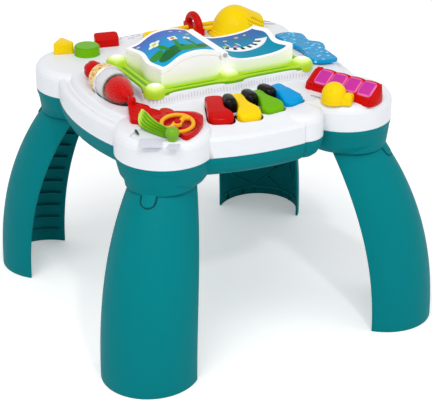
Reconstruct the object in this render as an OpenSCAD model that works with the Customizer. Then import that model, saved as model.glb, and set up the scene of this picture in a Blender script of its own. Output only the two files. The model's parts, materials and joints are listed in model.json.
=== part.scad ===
// Musical activity table for babies and toddlers.
// Four half-pipe legs carry a moulded tray; the top shell holds a light-up book and seven
// instruments: push buttons, shaker roller, guitar with spinner and strum lever, piano,
// accordion with slider, wave plate and trombone. Origin: middle of the footprint, on the floor.

/* [Table] */
// Height of the flat play surface
top_z = 321; // [315:1:330]
// Height of the joint line between tray and top shell
joint_z = 286; // [282:1:290]
// Underside of the tray between the legs
tray_z = 258; // [254:1:262]
// Centre of each round corner, from the middle
lobe_pos = 132; // [130:1:134]
// Radius of each round corner
lobe_r = 63; // [61:1:65]
// Reach of each bowed side, from the middle
side_reach = 195; // [193:1:197]
// Reach of the back side, from the middle
back_reach = 205; // [195:1:208]
// Radius of each bowed side
side_r = 322; // [300:1:350]
// Wall of the plastic shells
wall = 3; // [2.5:0.1:4]

/* [Legs] */
// Centre of the leg's open side at the floor, along X and Y
foot_pos = 177.7; // [170:0.1:182]
// Half width of the leg at the floor
foot_half = 64.2; // [58:0.1:68]
// Depth of the half-pipe at the floor
foot_depth = 67.1; // [60:0.1:70]
// How far the leg leans in from floor to collar, along X and Y
lean = 55; // [45:1:60]
// Spacing of the stiffening ribs
rib_pitch = 20; // [18:1:30]

/* [Book] */
// Half length of the book across its spine
book_x = 100; // [96:1:102]
// Half width of the book along its spine
book_y = 50; // [46:1:52]
// Height of the page hinge
hinge_z = 365; // [363:1:367]
// Thickness of the turning page
page_t = 6; // [5:0.5:7]

/* [Controls] */
// Travel of the push buttons
button_travel = 3; // [2:0.5:3.5]
// Travel of the accordion slider
slider_travel = 32; // [20:1:34]
// Travel of the trombone grip
grip_travel = 48; // [30:1:50]
// Running gap between pieces
gap = 0.5; // [0.3:0.1:0.8]

/* [Hidden] */
$fn = 48;
side_fn = 144;
lobe_fn = 48;

// Colours
teal = "#0b8a99";
white = "#f2f3f5";
red = "#d8231f";
yellow = "#fbd11c";
green = "#6cc02e";
lime = "#b4e34a";
blue = "#1e8fdc";
magenta = "#c2359c";
orange = "#f59a2a";

// Table outline and shell sections, as [inset, height]; no two that cross share a height
side_c = side_r - side_reach;
back_c = side_r - back_reach;
collar_z = 249;
tray_side = [
  [0, joint_z], [0.6, joint_z - 7], [3, joint_z - 16], [7, tray_z + 5], [12, tray_z + 1], [16, tray_z]
];
tray_lug = [
  [0, joint_z], [0.6, joint_z - 6.5], [3, joint_z - 15], [7, tray_z + 5.7], [12, tray_z + 1.5], [15.5, tray_z]
];
tray_strip = [[0, joint_z], [2.5, joint_z - 14], [11, tray_z + 2], [14, tray_z]];
tray_lobe = [
  [0, joint_z], [0.8, joint_z - 6], [2.3, joint_z - 10.5],
  [5.8, tray_z + 3], [11, collar_z + 4], [16.5, collar_z]
];
tray_heel = [[1.2, joint_z - 2], [1.8, joint_z - 13], [3.2, joint_z - 24], [5, collar_z]];
rim_side = [
  [0, joint_z], [0, top_z - 13], [1, top_z - 9.8], [3.2, top_z - 7.6], [6.5, top_z - 6.8], [9.5, top_z - 8],
  [12, top_z - 9.2], [14.5, top_z - 8], [16, top_z - 5], [18, top_z - 2], [21, top_z - 0.4], [25, top_z]
];
rim_front = [
  [0, joint_z], [0, top_z - 12.5], [1.2, top_z - 10], [4, top_z - 8.4],
  [18, top_z - 5], [30, top_z - 1.4], [36, top_z]
];
rim_back = [
  [0, joint_z], [0, top_z - 11.5], [1.2, top_z - 7], [4, top_z - 3.1], [8, top_z - 0.8], [12.5, top_z]
];
rim_strip = [[0, joint_z], [0, top_z - 6], [1, top_z - 4.6], [3, top_z - 3.4], [14, top_z]];
rim_lobe = [
  [0, joint_z], [0, top_z - 11], [1.2, top_z - 6.5], [4, top_z - 2.7], [8, top_z - 0.6], [12, top_z]
];
core_side = [
  [wall, joint_z - 1], [wall, top_z - 14], [5, top_z - 12], [14.5, top_z - 12.2],
  [20, top_z - wall - 1.2], [25, top_z - wall]
];
core_front = [
  [wall, joint_z - 1], [wall, top_z - 14], [5, top_z - 12], [18, top_z - 8.2],
  [30, top_z - 4.6], [36, top_z - wall]
];
core_back = [
  [wall, joint_z - 1], [wall, top_z - 12.5], [5, top_z - 7.5], [9, top_z - 4.3], [12.5, top_z - wall]
];
core_strip = [[wall, joint_z - 1], [wall, top_z - 9.5], [6, top_z - 6.9], [17, top_z - wall]];
core_lobe = [
  [wall, joint_z - 1], [wall, top_z - 11.5], [5, top_z - 6.5], [9, top_z - 3.8], [12, top_z - wall]
];
tray_core = [
  [wall, joint_z + 1], [wall + 0.6, joint_z - 7], [wall + 3, joint_z - 15],
  [wall + 7, tray_z + 7], [wall + 12, tray_z + 4.2], [wall + 16, tray_z + wall]
];
tray_lug_core = [
  [wall, joint_z + 1], [wall + 0.6, joint_z - 6.5], [wall + 3, joint_z - 14],
  [wall + 7, tray_z + 7.6], [wall + 12, tray_z + 4.8], [wall + 15.5, tray_z + wall]
];
tray_strip_core = [
  [wall, joint_z + 1], [wall + 2.5, joint_z - 13], [wall + 10, tray_z + 5.6], [wall + 13, tray_z + wall]
];
tray_lobe_core = [
  [wall, joint_z + 1], [wall + 0.8, joint_z - 6], [wall + 2.3, joint_z - 10.5],
  [wall + 5.8, tray_z + 5.2], [wall + 11, collar_z + 7], [wall + 14, collar_z + wall]
];
heel_core = [
  [wall + 1.2, joint_z - 3], [wall + 1.8, joint_z - 12.5], [wall + 3.2, joint_z - 24.5],
  [wall + 5, collar_z + wall]
];
// Second, outer centre of each tray corner, which keeps the collar steep on the outside
heel_pos = 140.7;
heel_r = 50.7;
// Rounded lug right of the piano, where the bowed front ends
lug = [48, -163];
lug_r = 29.5;
panel_end = 37.5;
strip_x = [22, 125];
strip_y = -162.5;
// Middle block and side sectors, which overlap inside the table
block_half = 140;
arc_in = 250;
arc_half = 24;

// Legs
leg_top = collar_z;
leg_wall = 3.2;
leg_steps = 10;
leg_arc = 14;
rib_arc = 7;
rib_t = 2;
half_taper = 26.2;
depth_taper = 7.9;
lean_curve = 2.21;
half_curve = 3.26;
depth_curve = 5;

// Book and light ring
ring_z = 337;
light_x = 109;
light_y = 60;
ring_x = book_x + 1;
ring_y = book_y + 1;
ring_section = [
  [1, top_z], [20, top_z], [19.5, top_z + 6], [16.5, top_z + 13], [12, ring_z], [4, ring_z], [1, ring_z - 3]
];
light_dome = [[0, 0], [17, 0], [16.8, 8], [15.4, 13], [12.5, 17.5], [8.5, 20.5], [4.5, 22], [0, 22.5]];
light_at = [[-light_x, -light_y], [0, -light_y + 3], [light_x, -light_y],
  [-light_x, light_y], [0, light_y - 3], [light_x, light_y]];
leaf_line = [
  [-100, -6], [-92, -4.5], [-83, -2], [-70, 5.5], [-60, 9.5], [-46, 11.5], [-33, 11], [-20, 8.5], [-9, 5]
];
right_line = [
  [4, -4.5], [12, -7.5], [24, -11], [40, -12.4], [58, -12.2], [74, -11], [88, -8], [95, -4], [100, -1]
];
hinge_x = -2.5;
hinge_clear = 9;
barrel_r = 5;
pin_r = 1.5;
ear_t = 6;
print_t = 0.3;

// Push buttons
tri_at = [-141.5, 172.5];
tri_r = 11.2;
tri_round = 4.2;
tri_turn = 76;
tri_h = 16;
round_at = [-115, 149.5];
round_r = 17.5;
round_h = 13;
square_at = [-76, 171];
square_w = 34;
square_d = 18;
square_turn = -12;
square_h = 18;
square_slope = 20;
flange = 1.5;
keypad_z = 300;
keypad_t = 1.6;
keypad_at = [-106, 160];
keypad_posts = [[-137, 150, collar_z + 1], [-78, 148, tray_z + 1], [-112, 179, tray_z + 1]];
dome_h = top_z - 8.5 - keypad_z - keypad_t;

// Shaker, along Y: clear dome and bead chamber either side of a flange, red cup and knob
shaker = [-146, 334];
foot_y = [-67.5, 50];
axle_r = 2;
axle_y = [-70, 38];
shaker_flange = [[25.6, 5], [25.6, 8.4]];
bulb_line = [[7, -62], [14, -57.5], [19.5, -49], [23, -38], [25, -24], [25.2, -10], [24, 4]];
bulb_inner = [[6.5, -60], [13, -55.6], [17.8, -47.8], [21, -37.4], [23, -23.7], [23.2, -10], [22.2, 4]];
chamber_line = [[23, 9], [21.5, 15], [17.5, 22], [12.5, 27], [8, 29.5]];
chamber_inner = [[21, 8.6], [19.6, 14], [16, 20.4], [11.6, 25.2], [7.6, 27.6]];
cone_line = [[5, -58.4], [11.6, -54.2], [16.2, -46.6], [19.2, -37.6], [20.6, -28]];
knob_line = [[8, 30.6], [9.5, 34.5], [12.8, 40], [15.3, 47], [15.8, 54], [13.5, 61], [8, 65], [0, 66]];
bead_r = 2.4;
bead_rows = [[10, 17.6], [15.2, 15.8], [20.3, 12.4]];

// Guitar
ring_at = [-122, -151, 328];
ring_tilt = [9, -4, 0];
spin_r = 19.8;
spin_wire = 2.6;
strum_at = [-143, -180];
strum_turn = 115;
ball_r = 8.2;
leaf_lean = 31;
leaf_z = top_z + 2.6;
leaf_t = 3;
leaf_edge = [
  [2, 2], [4, 0], [30, 0], [48, 0], [55.5, 2.5], [58, 8], [59.5, 15], [60.5, 21], [58.5, 24],
  [53, 22], [44, 17], [32, 13], [18, 11], [4, 11]
];
guitar_c = [-125, -132];
guitar_edge = [
  [-156, -72], [-164, -77], [-167, -92], [-166, -105], [-161, -115], [-151, -123], [-150, -137], [-154, -152],
  [-149, -170], [-131, -184], [-111, -180], [-98, -169], [-89, -155], [-84.5, -141], [-84, -130], [-90, -124],
  [-99, -125], [-107, -117], [-108, -103], [-115, -97], [-124, -101], [-130, -103], [-134, -92], [-138, -78],
  [-146, -72]
];

// Piano: a fan of keys round one centre
fan_at = [-3, 17];
key_turn = [-19, -7, 5.5, 18];
key_front = [187, 185, 178, 175];
key_back = 128;
key_w = 36;
key_back_w = 27;
key_neck = 7;
key_round = 8;
key_gap = 1;
key_pivot = [118, top_z - 9];
black_turn = [-13, -0.75, 11.75];
black_r = [146, 139, 135];
black_l = 30;
black_w = 12.5;

// Accordion, slider and wave plate
acc_at = [120.8, -140.5];
acc_turn = -66;
acc_l = 95;
acc_face = [[-13, 0], [-13, 8], [-11.5, 10.5], [6, 21.5], [9, 22.2], [12.5, 20.5], [13, 18], [13, 0]];
acc_slope = atan2(11, 17.5);
knob_at = [11, -31];
knob_r = 16;
knob_lip = 17.4;
knob_z = 10.5;
wave_z = top_z + 3;
wave_t = 4;
wave_stems = [[165, 45], [165, 0]];
wave_edge = [[150, 78], [160, 70], [171, 55], [180, 36], [184, 20], [182, 4], [179, -14], [176, -34],
  [163, -38], [151, -34], [149, -20], [153, 0], [151, 20], [147, 38], [145, 58]];

// Trombone
bell_at = [112, 137];
bell_profile = [[0, 40], [6, 39.4], [13, 36.8], [20.5, 31.5], [27, 23.5], [31.5, 14], [33.5, 8]];
bell_inside = [[0, 36], [11, 33], [19, 26], [26, 14], [28, 6]];
grip_at = [55, 155];
rail_y = 9;
rail_r = 3;
rail_z = 9;
arch_r = 17.5;
arch_wire = 5.6;

// Joints between leg and tray
spigot_at = 195;
spigot_r = 18;
spigot_z = collar_z + 22;
cap_t = 4;
latch_r = 248.4;
latch_z = 243;
latch_lean = 55.8;
latch_w = 19;
latch_top = collar_z - 0.6;

// Inside the case
boss_z = 265;
screw_at = [[-85, 85], [85, 85], [-85, -85], [85, -85], [-20, 172], [28, 172]];
board_z = 296;
board_posts = [[-62, -38], [62, -38], [-62, 38], [62, 38]];
door_x = 66;
door_y = 72;
door_t = 1.8;
cell_l = 50.2;
cell_y = 16.5;
cell_z = tray_z + 11.5;
switch_at = [84, 0];

// Smooth curves through a few points
function blend4(a, b, c, d, t) = 0.5 * (2 * b + (c - a) * t + (2 * a - 5 * b + 4 * c - d) * t * t
  + (3 * b - 3 * c + d - a) * t * t * t);
function smooth_loop(p, n) = [for (i = [0:len(p) - 1], k = [0:n - 1])
  blend4(p[(i + len(p) - 1) % len(p)], p[i], p[(i + 1) % len(p)], p[(i + 2) % len(p)], k / n)];
function smooth_line(p, n) = concat([for (i = [0:len(p) - 2], k = [0:n - 1])
  blend4(p[max(i - 1, 0)], p[i], p[i + 1], p[min(i + 2, len(p) - 1)], k / n)], [p[len(p) - 1]]);
function lowered(line, d) = [for (p = line) [p[0], p[1] - d]];
function backwards(p) = [for (i = [len(p) - 1:-1:0]) p[i]];

module round_rect(w, d, r) {
  square([w - 2 * r, d], center = true);
  square([w, d - 2 * r], center = true);
  for (x = [-1, 1], y = [-1, 1]) translate([x * (w / 2 - r), y * (d / 2 - r)]) circle(r);
}
module plate(w, d, h, r) {
  linear_extrude(h) round_rect(w, d, r);
}
module corners() {
  for (a = [45:90:315]) rotate([0, 0, a]) children();
}
// Solid of revolution whose edge follows a section given as [inset, height]
module turned(r, section) {
  last = len(section) - 1;
  rotate_extrude($fn = lobe_fn)
    polygon(concat([[0, section[0][1]]], [for (s = section) [r - s[0], s[1]]], [[0, section[last][1]]]));
}
// One bowed side: a sector of a large ring whose edge follows the section
module bowed(turn, shift, section, from, to) {
  last = len(section) - 1;
  rotate([0, 0, turn]) translate([-shift, 0, 0]) rotate([0, 0, from])
    rotate_extrude(angle = to - from, $fn = side_fn)
      polygon(concat([[arc_in, section[0][1]]], [for (s = section) [side_r - s[0], s[1]]],
        [[arc_in, section[last][1]]]));
}
// Whole table outline: middle block, four bowed sides, four round corners, the lug beside the
// piano and the straight strip between lug and corner
module table_form(side, front, back, lobe, heel, lug_section, strip, step) {
  last = len(side) - 1;
  low = min(side[0][1], side[last][1]);
  half = block_half - step;
  translate([-half, -half, low]) cube([2 * half, 2 * half, abs(side[last][1] - side[0][1])]);
  corners() translate([lobe_pos * sqrt(2), 0, 0]) turned(lobe_r, lobe);
  if (len(heel) > 0) corners() translate([heel_pos * sqrt(2), 0, 0]) turned(heel_r, heel);
  bowed(0, side_c, side, -arc_half, arc_half);
  bowed(180, side_c, side, -arc_half, arc_half);
  bowed(90, back_c, back, -arc_half, arc_half);
  bowed(270, side_c, front, -arc_half, asin((panel_end - step) / side_r));
  translate(lug) rotate([0, 0, 90]) turned(lug_r, lug_section);
  translate([strip_x[0], 0, 0]) rotate([90, 0, 90]) linear_extrude(strip_x[1] - strip_x[0])
    polygon(concat([[-arc_in / 2, strip[0][1]]], [for (s = strip) [strip_y + s[0], s[1]]],
      [[-arc_in / 2, strip[len(strip) - 1][1]]]));
}

// Legs: half-elliptical channels that lean and taper up into the collars
function lean_c(z) = foot_pos - lean * pow(z / 264, lean_curve);
function half_w(z) = foot_half - half_taper * pow(z / 264, half_curve);
function depth(z) = foot_depth - depth_taper * pow(z / 264, depth_curve);
function rim_point(z, a, cut) = [lean_c(z) * sqrt(2) + (depth(z) - cut) * cos(a), (half_w(z) - cut) * sin(a)];
function arc_points(z, n, cut) = [for (i = [0:n]) rim_point(z, -90 + 180 * i / n, cut)];
function channel(z, n, outer, inner) = concat(arc_points(z, n, outer), backwards(arc_points(z, n, inner)));
// Closed skin through a stack of channel outlines, given by their heights
module channel_skin(heights, n, outer, inner) {
  rings = [for (z = heights) [for (p = channel(z, n, outer, inner)) [p[0], p[1], z]]];
  m = 2 * n + 2;
  last = len(rings) - 1;
  polyhedron([for (r = rings) each r], concat(
    [for (i = [0:n - 1]) [i, i + 1, m - 2 - i, m - 1 - i]],
    [for (i = [0:n - 1]) [last * m + m - 1 - i, last * m + m - 2 - i, last * m + i + 1, last * m + i]],
    [for (j = [0:last - 1], i = [0:m - 1]) each [
      [j * m + i, (j + 1) * m + i, j * m + (i + 1) % m],
      [j * m + (i + 1) % m, (j + 1) * m + i, (j + 1) * m + (i + 1) % m]]]));
}
module leg_rib(z) {
  translate([0, 0, z]) linear_extrude(rib_t)
    polygon(channel(z + rib_t / 2, rib_arc, leg_wall / 2, leg_wall + 5));
}
module latch_place() {
  translate([latch_r, 0, latch_z]) rotate([0, latch_lean, 0]) children();
}
module latch_form(grow) {
  latch_place() translate([0, 0, -9 - grow]) linear_extrude(18) {
    translate([-1.3, 0]) circle(latch_w / 2 + grow);
    translate([-12, -latch_w / 2 - grow]) square([10.7, latch_w + 2 * grow]);
  }
}
module leg(turn) {
  color(teal) rotate([0, 0, turn]) difference() {
    union() {
      channel_skin([for (j = [0:leg_steps]) leg_top * j / leg_steps], leg_arc, 0, leg_wall);
      for (z = [rib_pitch:rib_pitch:leg_top - rib_pitch]) leg_rib(z);
      translate([0, 0, leg_top - cap_t]) linear_extrude(cap_t)
        polygon(arc_points(leg_top, leg_arc, leg_wall / 2));
      translate([spigot_at, 0, leg_top - cap_t]) cylinder(h = spigot_z - leg_top + cap_t, r = spigot_r);
    }
    latch_form(gap);
  }
}
module leg_front_left() leg(225);
module leg_front_right() leg(315);
module leg_back_left() leg(135);
module leg_back_right() leg(45);

// Release tab of the leg joint: follows the leg's skin and stands a little proud of it
module latch(turn) {
  color(teal) rotate([0, 0, turn]) intersection() {
    latch_form(0);
    channel_skin([latch_z - 14, latch_z - 4, latch_top], leg_arc, -0.8, leg_wall - 0.2);
  }
}
module latch_front_left() latch(225);
module latch_front_right() latch(315);
module latch_back_left() latch(135);
module latch_back_right() latch(45);

// Tray: bowl with four collars, leg sockets, screw pads, board posts and battery opening
module screw_places() {
  for (p = screw_at) translate([p[0], p[1], 0]) children();
}
module base_tray() {
  color(teal) difference() {
    union() {
      difference() {
        table_form(tray_side, tray_side, tray_side, tray_lobe, tray_heel, tray_lug, tray_strip, 0);
        table_form(tray_core, tray_core, tray_lug_core, tray_lobe_core, heel_core, tray_lug_core,
          tray_strip_core, wall);
      }
      corners() translate([spigot_at, 0, collar_z + 1])
        cylinder(h = spigot_z - collar_z + 2, r = spigot_r + 3.5);
      screw_places() translate([0, 0, tray_z + 1]) cylinder(h = boss_z - tray_z - 1, r = 6);
      for (p = board_posts) translate([p[0], p[1], tray_z + 1]) cylinder(h = board_z - tray_z - 1, r = 4);
      for (p = keypad_posts) translate(p) cylinder(h = keypad_z - p[2], r = 4);
    }
    corners() translate([spigot_at, 0, collar_z - 1])
      cylinder(h = spigot_z - collar_z + 1.3, r = spigot_r + 0.3);
    screw_places() {
      translate([0, 0, tray_z - 1]) cylinder(h = 4.4, r = 3.8);
      translate([0, 0, tray_z]) cylinder(h = 12, r = 1.8);
    }
    translate([0, 0, tray_z - 1]) plate(door_x, door_y, door_t + 1.2, 5);
    translate([0, 0, tray_z - 1]) plate(door_x - 12, door_y - 12, 8, 3);
    translate([switch_at[0], switch_at[1], tray_z - 1]) plate(8, 22, 6, 3.9);
  }
}

// Openings of the top shell, each a little larger than the piece that fills it
module triangle_plan(grow) {
  r = tri_round + grow;
  reach = r - 0.06;
  for (a = [0:120:359]) rotate(a + tri_turn) translate([tri_r, 0]) circle(r);
  rotate(tri_turn) polygon([for (a = [0:120:359], s = [-60, 60])
    [tri_r * cos(a) + reach * cos(a + s), tri_r * sin(a) + reach * sin(a + s)]]);
}
module round_plan(grow) {
  circle(round_r + grow);
}
module square_plan(grow) {
  rotate(square_turn) round_rect(square_w + 2 * grow, square_d + 2 * grow, 5);
}
module fan(turn) {
  translate(fan_at) rotate(turn) children();
}
function key_half(i, r) = key_back_w / 2
  + (r - key_back) * (key_w - key_back_w) / 2 / (key_front[i] - key_back);
// One side of a key, from its shoulder beside a black key to its tail
function key_side(i, s, grow) = let (b = s < 0 ? i - 1 : i, r = black_r[min(max(b, 0), 2)] + black_l / 2 + 2)
  b >= 0 && b < 3
    ? [[s * (key_half(i, r) + grow), grow - r], [s * (key_neck + grow), grow - r],
      [s * (key_neck + grow), grow - key_back]]
    : [[s * (key_half(i, key_back) + grow), grow - key_back]];
module key_plan(i, grow) {
  nose = key_front[i] - key_round;
  side = key_half(i, nose) - key_round;
  fan(key_turn[i]) {
    for (x = [-side, side]) translate([x, -nose]) circle(key_round + grow);
    polygon([[-side, -nose], [side, -nose], [side, -key_front[i] - grow], [-side, -key_front[i] - grow]]);
    polygon(concat([[-side - key_round - grow, -nose]], key_side(i, -1, grow),
      backwards(key_side(i, 1, grow)), [[side + key_round + grow, -nose]]));
  }
}
function fan_point(a, r) = [fan_at[0] + r * sin(a), fan_at[1] - r * cos(a)];
module key_wells() {
  for (i = [0:3]) key_plan(i, key_gap);
  for (i = [0:2]) {
    r = black_r[i] + black_l / 2 + 1;
    f = min(key_front[i], key_front[i + 1]) - key_round;
    polygon([fan_point(key_turn[i], r), fan_point(key_turn[i + 1], r),
      fan_point(key_turn[i + 1], f), fan_point(key_turn[i], f)]);
  }
}
module shaker_plan() {
  translate([shaker[0], -40]) circle(23.5);
  translate([shaker[0] - 23, -40]) square([46, 62]);
  translate([shaker[0] - 13, 21]) square([26, 11]);
  translate([shaker[0] - 10, 31]) square([20, 31]);
  translate([shaker[0], foot_y[0]]) circle(3.2);
}
module slider_slot() {
  translate(acc_at) rotate(acc_turn) translate([knob_at[0] - slider_travel - 4, knob_at[1] - 2.7])
    square([slider_travel + 8, 5.4]);
}
module shell_openings() {
  translate(tri_at) triangle_plan(gap);
  translate(round_at) round_plan(gap);
  translate(square_at) square_plan(gap);
  key_wells();
  shaker_plan();
  slider_slot();
  for (p = wave_stems) translate(p) circle(4.5);
  translate([grip_at[0] - grip_travel - 5, grip_at[1] - 3]) square([grip_travel + 10, 6]);
  for (p = light_at) translate(p) circle(1.6);
}

// Top shell: one moulding with the play surface, rims, groove, key wells and screw bosses
module top_shell() {
  color(white) difference() {
    union() {
      difference() {
        table_form(rim_side, rim_front, rim_back, rim_lobe, [], rim_back, rim_strip, 0);
        table_form(core_side, core_front, core_back, core_lobe, [], core_back, core_strip, wall);
      }
      screw_places() translate([0, 0, boss_z]) cylinder(h = top_z - wall - boss_z + 0.5, r = 4.5);
      for (i = [0:3], x = [-9.8, 6.8]) fan(key_turn[i])
        translate([x, -key_pivot[0] - 4, key_pivot[1] - 4]) cube([3, 8, top_z - wall - key_pivot[1] + 4.5]);
    }
    translate([0, 0, top_z - 17]) linear_extrude(30) shell_openings();
    screw_places() translate([0, 0, boss_z - 1]) cylinder(h = 14, r = 1.5);
    for (i = [0:3]) key_pin_hole(i, 12, 2);
    // Shallow bed under the strum leaf
    translate([strum_at[0], strum_at[1], top_z - 2.2]) intersection() {
      cylinder(h = 5, r = 54);
      linear_extrude(5) polygon([[0, 0], [-12, 60], [-70, 60], [-70, 8]]);
      translate([-lobe_pos - strum_at[0], -lobe_pos - strum_at[1], 0]) cylinder(h = 5, r = lobe_r - 9);
    }
  }
}
module key_pin_hole(i, half, r) {
  fan(key_turn[i]) translate([-half, -key_pivot[0], key_pivot[1]]) rotate([0, 90, 0])
    cylinder(h = 2 * half, r = r);
}

// Light ring: translucent border round the book, with a dome over each bulb
module ring_bar(length) {
  rotate([90, 0, 90]) translate([0, 0, -length / 2]) linear_extrude(length) polygon(ring_section);
}
module light_ring() {
  color(lime) difference() {
    union() {
      for (a = [0, 180]) rotate([0, 0, a]) {
        translate([0, ring_y - 1, 0]) ring_bar(2 * ring_x - 2);
        rotate([0, 0, -90]) translate([0, ring_x - 1, 0]) ring_bar(2 * ring_y - 2);
      }
      for (x = [0, 1], y = [0, 1]) mirror([x, 0, 0]) mirror([0, y, 0]) translate([ring_x - 1, ring_y - 1, 0])
        rotate_extrude(angle = 90) polygon(ring_section);
      for (p = light_at) translate([p[0], p[1], top_z]) rotate_extrude() polygon(light_dome);
    }
    translate([-ring_x, -ring_y, top_z - 1]) cube([2 * ring_x, 2 * ring_y, 40]);
    for (p = light_at) translate([p[0], p[1], top_z - 1]) cylinder(h = 10, r = 7);
  }
}
module light_bulbs() {
  color("ivory") for (p = light_at) translate([p[0], p[1], top_z]) {
    cylinder(h = 1.2, r = 4);
    translate([0, 0, 1]) cylinder(h = 4, r = 2.5);
    translate([0, 0, 5]) sphere(r = 2.5);
    translate([0, 0, -14]) cylinder(h = 15, r = 1);
  }
}

// Book: fixed block with a humped left side and a sloping right page, and one turning page
module book_block(section, half) {
  translate([0, half, hinge_z]) rotate([90, 0, 0]) linear_extrude(2 * half) polygon(section);
}
module book_bar(r, half) {
  translate([hinge_x, -half, hinge_z]) rotate([-90, 0, 0]) cylinder(h = 2 * half, r = r);
}
module wavy_plan(grow, x0, x1) {
  ys = [for (y = [-book_y:4:book_y]) y];
  linear_extrude(2 * hinge_z) intersection() {
    polygon(concat(
      [for (y = ys) [book_x + grow + 2.5 * sin(y * 5.4) - 2.5, y]],
      [for (y = backwards(ys)) [2.5 - book_x - grow + 2.5 * sin(y * 5.4), y]]));
    translate([x0, -book_y]) square([x1 - x0, 2 * book_y]);
  }
}
module spine_ear(y) {
  translate([hinge_x, y, hinge_z]) rotate([-90, 0, 0]) difference() {
    union() {
      cylinder(h = ear_t, r = barrel_r);
      translate([-4, 0, 0]) cube([8, hinge_clear + 2, ear_t]);
    }
    translate([0, 0, -1]) cylinder(h = ear_t + 2, r = pin_r);
  }
}
module book_base() {
  top_left = smooth_line(lowered(leaf_line, page_t + 0.5), 4);
  top_right = smooth_line(right_line, 4);
  color(white) {
    difference() {
      intersection() {
        book_block(concat([[-book_x, top_z - hinge_z]], top_left, [[-8, -5.5], [3, -5.5]], top_right,
          [[book_x, top_z - hinge_z]]), book_y);
        wavy_plan(0, -book_x, book_x);
      }
      book_bar(hinge_clear, book_y + 1);
      for (p = light_at) if (p[0] == 0) translate([p[0], p[1], top_z - 1]) cylinder(h = 10, r = 7.5);
      translate([0, 0, top_z - 1]) plate(2 * book_x - 24, 2 * book_y - 24, 18, 8);
    }
    for (y = [-book_y, book_y - ear_t]) spine_ear(y);
  }
}
module page_pin() {
  color("silver") {
    book_bar(pin_r, book_y);
    translate([hinge_x, -book_y - 1.2, hinge_z]) rotate([-90, 0, 0]) cylinder(h = 1.2, r = 3);
  }
}
module leaf_solid(line, lift, t, inset, x0, x1) {
  upper = smooth_line(lowered(line, -lift), 4);
  intersection() {
    book_block(concat(upper, backwards(lowered(upper, t))), book_y - inset);
    wavy_plan(-inset, x0, x1);
  }
}
module turning_page() {
  half = book_y - ear_t - 2;
  color(white) difference() {
    union() {
      leaf_solid(leaf_line, 0, page_t, 0, -book_x, -hinge_clear);
      book_bar(barrel_r, half);
      translate([hinge_x - 8, -half, hinge_z - 0.5]) cube([8, 2 * half, 4]);
    }
    book_bar(pin_r + 0.05, book_y + 1);
  }
}
module turning_page_print() {
  color(blue) leaf_solid(leaf_line, print_t, print_t, 6, -book_x, -14);
}
module right_page_print() {
  color(blue) leaf_solid(right_line, print_t, print_t, 6, 11, book_x);
}

// Push buttons: cap with a bevelled edge, retaining flange and a plunger over its rubber dome
module button(at, h) {
  translate([at[0], at[1], 0]) {
    translate([0, 0, top_z - 7]) linear_extrude(h + 5.5) children(0);
    translate([0, 0, top_z + h - 1.5]) linear_extrude(1.5) children(1);
    translate([0, 0, top_z - wall - button_travel - 0.2]) linear_extrude(2.2) children(2);
    translate([0, 0, top_z - 8.5]) cylinder(h = 4, r = 5);
  }
}
module triangle_button() {
  color(yellow) button(tri_at, tri_h) {
    triangle_plan(0);
    triangle_plan(-1.2);
    intersection() {
      triangle_plan(flange);
      rotate(tri_turn) translate([-30, -30]) square([32, 60]);
    }
  }
}
module round_button() {
  color(green) button(round_at, round_h) {
    round_plan(0);
    round_plan(-1.5);
    intersection() {
      round_plan(flange);
      rotate(atan2(tri_at[1] - round_at[1], tri_at[0] - round_at[0])) translate([-30, -30])
        square([30 + round_r, 60]);
    }
  }
}
module square_button() {
  color(red) difference() {
    button(square_at, square_h) {
      square_plan(0);
      square_plan(-1.2);
      intersection() {
        square_plan(flange);
        rotate(square_turn) translate([-30, -30]) square([60, 34]);
      }
    }
    translate([square_at[0], square_at[1], top_z + square_h - 5])
      rotate([0, 0, square_turn]) rotate([square_slope, 0, 0])
        translate([-square_w, -square_w, 0]) cube([2 * square_w, 2 * square_w, 20]);
  }
}
module rubber_dome(at) {
  color("gray") translate([at[0], at[1], keypad_z + keypad_t]) rotate_extrude()
    polygon([[0, dome_h], [4, dome_h], [8, 1.5], [9, 1.5], [9, 0], [7, 0], [3.4, dome_h - 2.2],
      [0, dome_h - 2.2]]);
}
module triangle_dome() rubber_dome(tri_at);
module round_dome() rubber_dome(round_at);
module square_dome() rubber_dome(square_at);
module button_board() {
  color("darkgreen") translate([keypad_at[0], keypad_at[1], keypad_z]) plate(88, 46, keypad_t, 6);
}

// Shaker: clear drum of beads on an axle between the fixed handle and nose
module shaker_turn(y0) {
  translate([shaker[0], y0, shaker[1]]) rotate([-90, 0, 0]) children();
}
module maraca_bulb() {
  bore = axle_r + 0.05;
  color("aliceblue", 0.4) shaker_turn(0) rotate_extrude()
    polygon(concat([[bore, -62.5]], smooth_line(bulb_line, 4), shaker_flange, smooth_line(chamber_line, 3),
      [[bore, 30], [bore, 28]], backwards(smooth_line(chamber_inner, 3)),
      backwards(smooth_line(bulb_inner, 4)), [[bore, -60.5]]));
}
module maraca_beads() {
  for (row = bead_rows, k = [0:7]) color([yellow, orange, red, yellow][k % 4])
    translate([shaker[0], row[0], shaker[1]]) rotate([0, 75 + 30 * k, 0])
      translate([0, 0, row[1]]) sphere(r = bead_r);
}
// Red cup inside the front of the dome, turning with it on the axle
module maraca_cone() {
  bore = axle_r + 0.05;
  color(red) shaker_turn(0) rotate_extrude()
    polygon(concat([[bore, -59]], smooth_line(cone_line, 4), [[bore, -28]]));
}
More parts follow.
